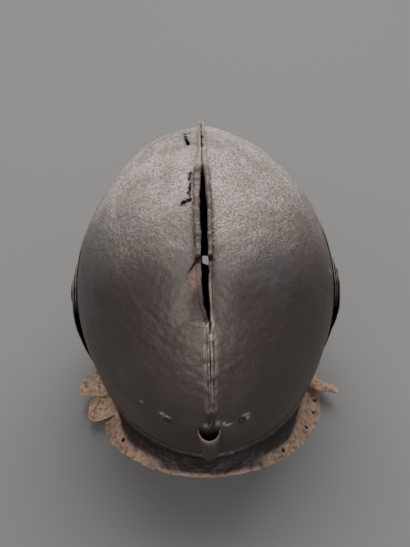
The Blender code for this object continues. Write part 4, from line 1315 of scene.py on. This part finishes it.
def steel(name, frost_and_light_share, dark, frosted, edge_wear, rust_share, dusty, relief):
    """A material of pitted steel with rust over it."""
    made = bpy.data.materials.new(name)
    made.use_nodes = True
    tree = made.node_tree
    shader = tree.nodes["Principled BSDF"]
    place = put(tree, "TexCoord").outputs["Object"]
    # The frost mask is pale frosting and also painted light: pale on the crown, dark towards the nape.
    lean = put(tree, "VectorMath", {0: place, 1: FROST_AND_LIGHT_LEAN}, operation="DOT_PRODUCT").outputs["Value"]
    lean = combine(tree, "ADD", lean, combine(tree, "MULTIPLY", noise(tree, place, 30.0, 3.0), 0.024))
    frost_and_light = combine(tree, "MULTIPLY", spread(tree, lean, 0.092, 0.206), frost_and_light_share)
    # worn gathers rubbed edges and comb, and the painted highlights of the bright mark.
    edge = combine(tree, "MULTIPLY", marked(tree, "edge"), edge_wear)
    comb = combine(tree, "MULTIPLY", spread(tree, marked(tree, "comb"), 0.25, 0.9), 0.16)
    worn = combine(tree, "MAXIMUM", combine(tree, "MAXIMUM", edge, comb), marked(tree, "bright"))
    sockets = {"Position": place, "Frost And Light": frost_and_light, "Wear And Highlight": worn}
    skin = tree.nodes.new("ShaderNodeGroup")
    skin.node_tree = bpy.data.node_groups["pitted_steel"]
    skin.inputs["Dark Colour"].default_value = (*dark, 1.0)
    skin.inputs["Frost Colour"].default_value = (*frosted, 1.0)
    for key, value in sockets.items():
        tree.links.new(value, skin.inputs[key])
    crust = tree.nodes.new("ShaderNodeGroup")
    crust.node_tree = bpy.data.node_groups["rust_crust"]
    crust.inputs["Dusty"].default_value = dusty
    tree.links.new(place, crust.inputs["Position"])
    amount = combine(tree, "MULTIPLY", marked(tree, "rust"), rust_share)
    broken = spread(tree, noise(tree, place, 190.0, 4.0), 0.30, 0.50, 0.6, 1.0)
    amount = combine(tree, "MULTIPLY", amount, broken)
    colour = blend(tree, amount, skin.outputs["Colour"], crust.outputs["Colour"])
    # The deep mark is painted shade, blended towards near black.
    deep = combine(tree, "MULTIPLY", marked(tree, "deep"), 0.88)
    colour = blend(tree, deep, colour, PAINTED_SHADE_COLOUR)
    tree.links.new(colour, shader.inputs["Base Color"])
    tree.links.new(spread(tree, amount, 0.0, 0.8, 0.78, 0.05), shader.inputs["Metallic"])
    rough = combine(tree, "ADD", skin.outputs["Roughness"], combine(tree, "MULTIPLY", amount, 0.35))
    tree.links.new(rough, shader.inputs["Roughness"])
    height = combine(tree, "MULTIPLY", crust.outputs["Height"], amount)
    height = combine(tree, "ADD", skin.outputs["Height"], height)
    bumps = put(tree, "Bump", {"Strength": 0.85, "Distance": relief, "Height": height})
    tree.links.new(bumps.outputs["Normal"], shader.inputs["Normal"])
    return made


STEELS = (
    # name, share of frost and painted light, dark colour, frosted colour, edge wear, share of rust, dust on
    # it, relief in metres
    ("skull_steel", 1.0, (0.105, 0.084, 0.077), (0.74, 0.635, 0.585), 0.55, 0.85, 0.55, 0.0011),
    ("plate_steel", 0.30, (0.024, 0.019, 0.017), (0.18, 0.155, 0.14), 0.06, 0.6, 0.4, 0.0006),
    ("rusty_steel", 0.30, (0.060, 0.047, 0.043), (0.32, 0.27, 0.24), 0.12, 1.0, 1.0, 0.0008),
)
finishes = {row[0]: steel(*row) for row in STEELS}
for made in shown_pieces():
    made.data.materials.clear()
    made.data.materials.append(finishes[made["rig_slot"]])

# %% [markdown]
# ## Table, light and camera
# The helmet stands on a plain surface under a large soft light from above and beyond it, so its
# crown is pale and its nape dark. A weaker one fills in from behind the camera, which looks down on
# the helmet's back at 42 degrees.

# %% Table and lights


def stage_plane(name, size):
    """A flat square under the helmet."""
    mesh = bpy.data.meshes.new(name)
    corners = [(-size, -size, 0), (size, -size, 0), (size, size, 0), (-size, size, 0)]
    mesh.from_pydata(corners, [], [(0, 1, 2, 3)])
    made = bpy.data.objects.new(name, mesh)
    bpy.context.scene.collection.objects.link(made)
    return made


def soft_light(name, place, target, size, power):
    """A square area light at a place, facing its target."""
    lamp = bpy.data.lights.new(name, "AREA")
    lamp.shape = "SQUARE"
    lamp.size = size
    lamp.energy = power
    made = bpy.data.objects.new(name, lamp)
    bpy.context.scene.collection.objects.link(made)
    made.location = place
    heading = Vector(target) - Vector(place)
    made.rotation_euler = heading.to_track_quat("-Z", "Y").to_euler()


table = stage_plane("table", 6.0)
paper = bpy.data.materials.new("grey_paper")
paper.use_nodes = True
paper_shader = paper.node_tree.nodes["Principled BSDF"]
paper_shader.inputs["Base Color"].default_value = (0.165, 0.161, 0.156, 1.0)
paper_shader.inputs["Roughness"].default_value = 0.9
table.data.materials.append(paper)

soft_light("window", (0.10, 0.70, 1.35), (0.0, 0.0, 0.12), 1.5, 34.0)
soft_light("room", (-0.10, -1.1, 0.55), (0.0, 0.0, 0.06), 1.2, 9.0)
world = bpy.data.worlds.new("room_air")
bpy.context.scene.world = world
world.use_nodes = True
air = world.node_tree.nodes["Background"]
air.inputs["Color"].default_value = (1.0, 1.0, 1.0, 1.0)
air.inputs["Strength"].default_value = 0.40

# %% Camera
CAMERA_DISTANCE = 0.900
CAMERA_ELEVATION = 42.0
CAMERA_AZIMUTH = 0.0
CAMERA_ROLL = -1.5
FRAME_WIDTH, FRAME_HEIGHT = 410, 547
FOCAL_PIXELS = 1161.0
AIM_X, AIM_Y = 205.5, 290.0
camera_data = bpy.data.cameras.new("camera")
camera_data.sensor_width = 36.0
camera_data.lens = FOCAL_PIXELS * camera_data.sensor_width / FRAME_HEIGHT
camera = bpy.data.objects.new("camera", camera_data)
bpy.context.scene.collection.objects.link(camera)
elevation, azimuth = math.radians(CAMERA_ELEVATION), math.radians(CAMERA_AZIMUTH)
back = Vector(
    (math.sin(azimuth) * math.cos(elevation), -math.cos(azimuth) * math.cos(elevation), math.sin(elevation))
)
camera.location = Vector(AXIS) + back * CAMERA_DISTANCE
facing = (-back).to_track_quat("-Z", "Y").to_matrix()
tilt = math.atan((AIM_Y - FRAME_HEIGHT / 2) / FOCAL_PIXELS)
pan = math.atan((AIM_X - FRAME_WIDTH / 2) / FOCAL_PIXELS)
facing = facing @ Matrix.Rotation(math.radians(CAMERA_ROLL), 3, "Z")
facing = facing @ Matrix.Rotation(tilt, 3, "X") @ Matrix.Rotation(pan, 3, "Y")
camera.rotation_mode = "QUATERNION"
camera.rotation_quaternion = facing.to_quaternion()
bpy.context.scene.camera = camera
print("lens in mm:", round(camera_data.lens, 1))
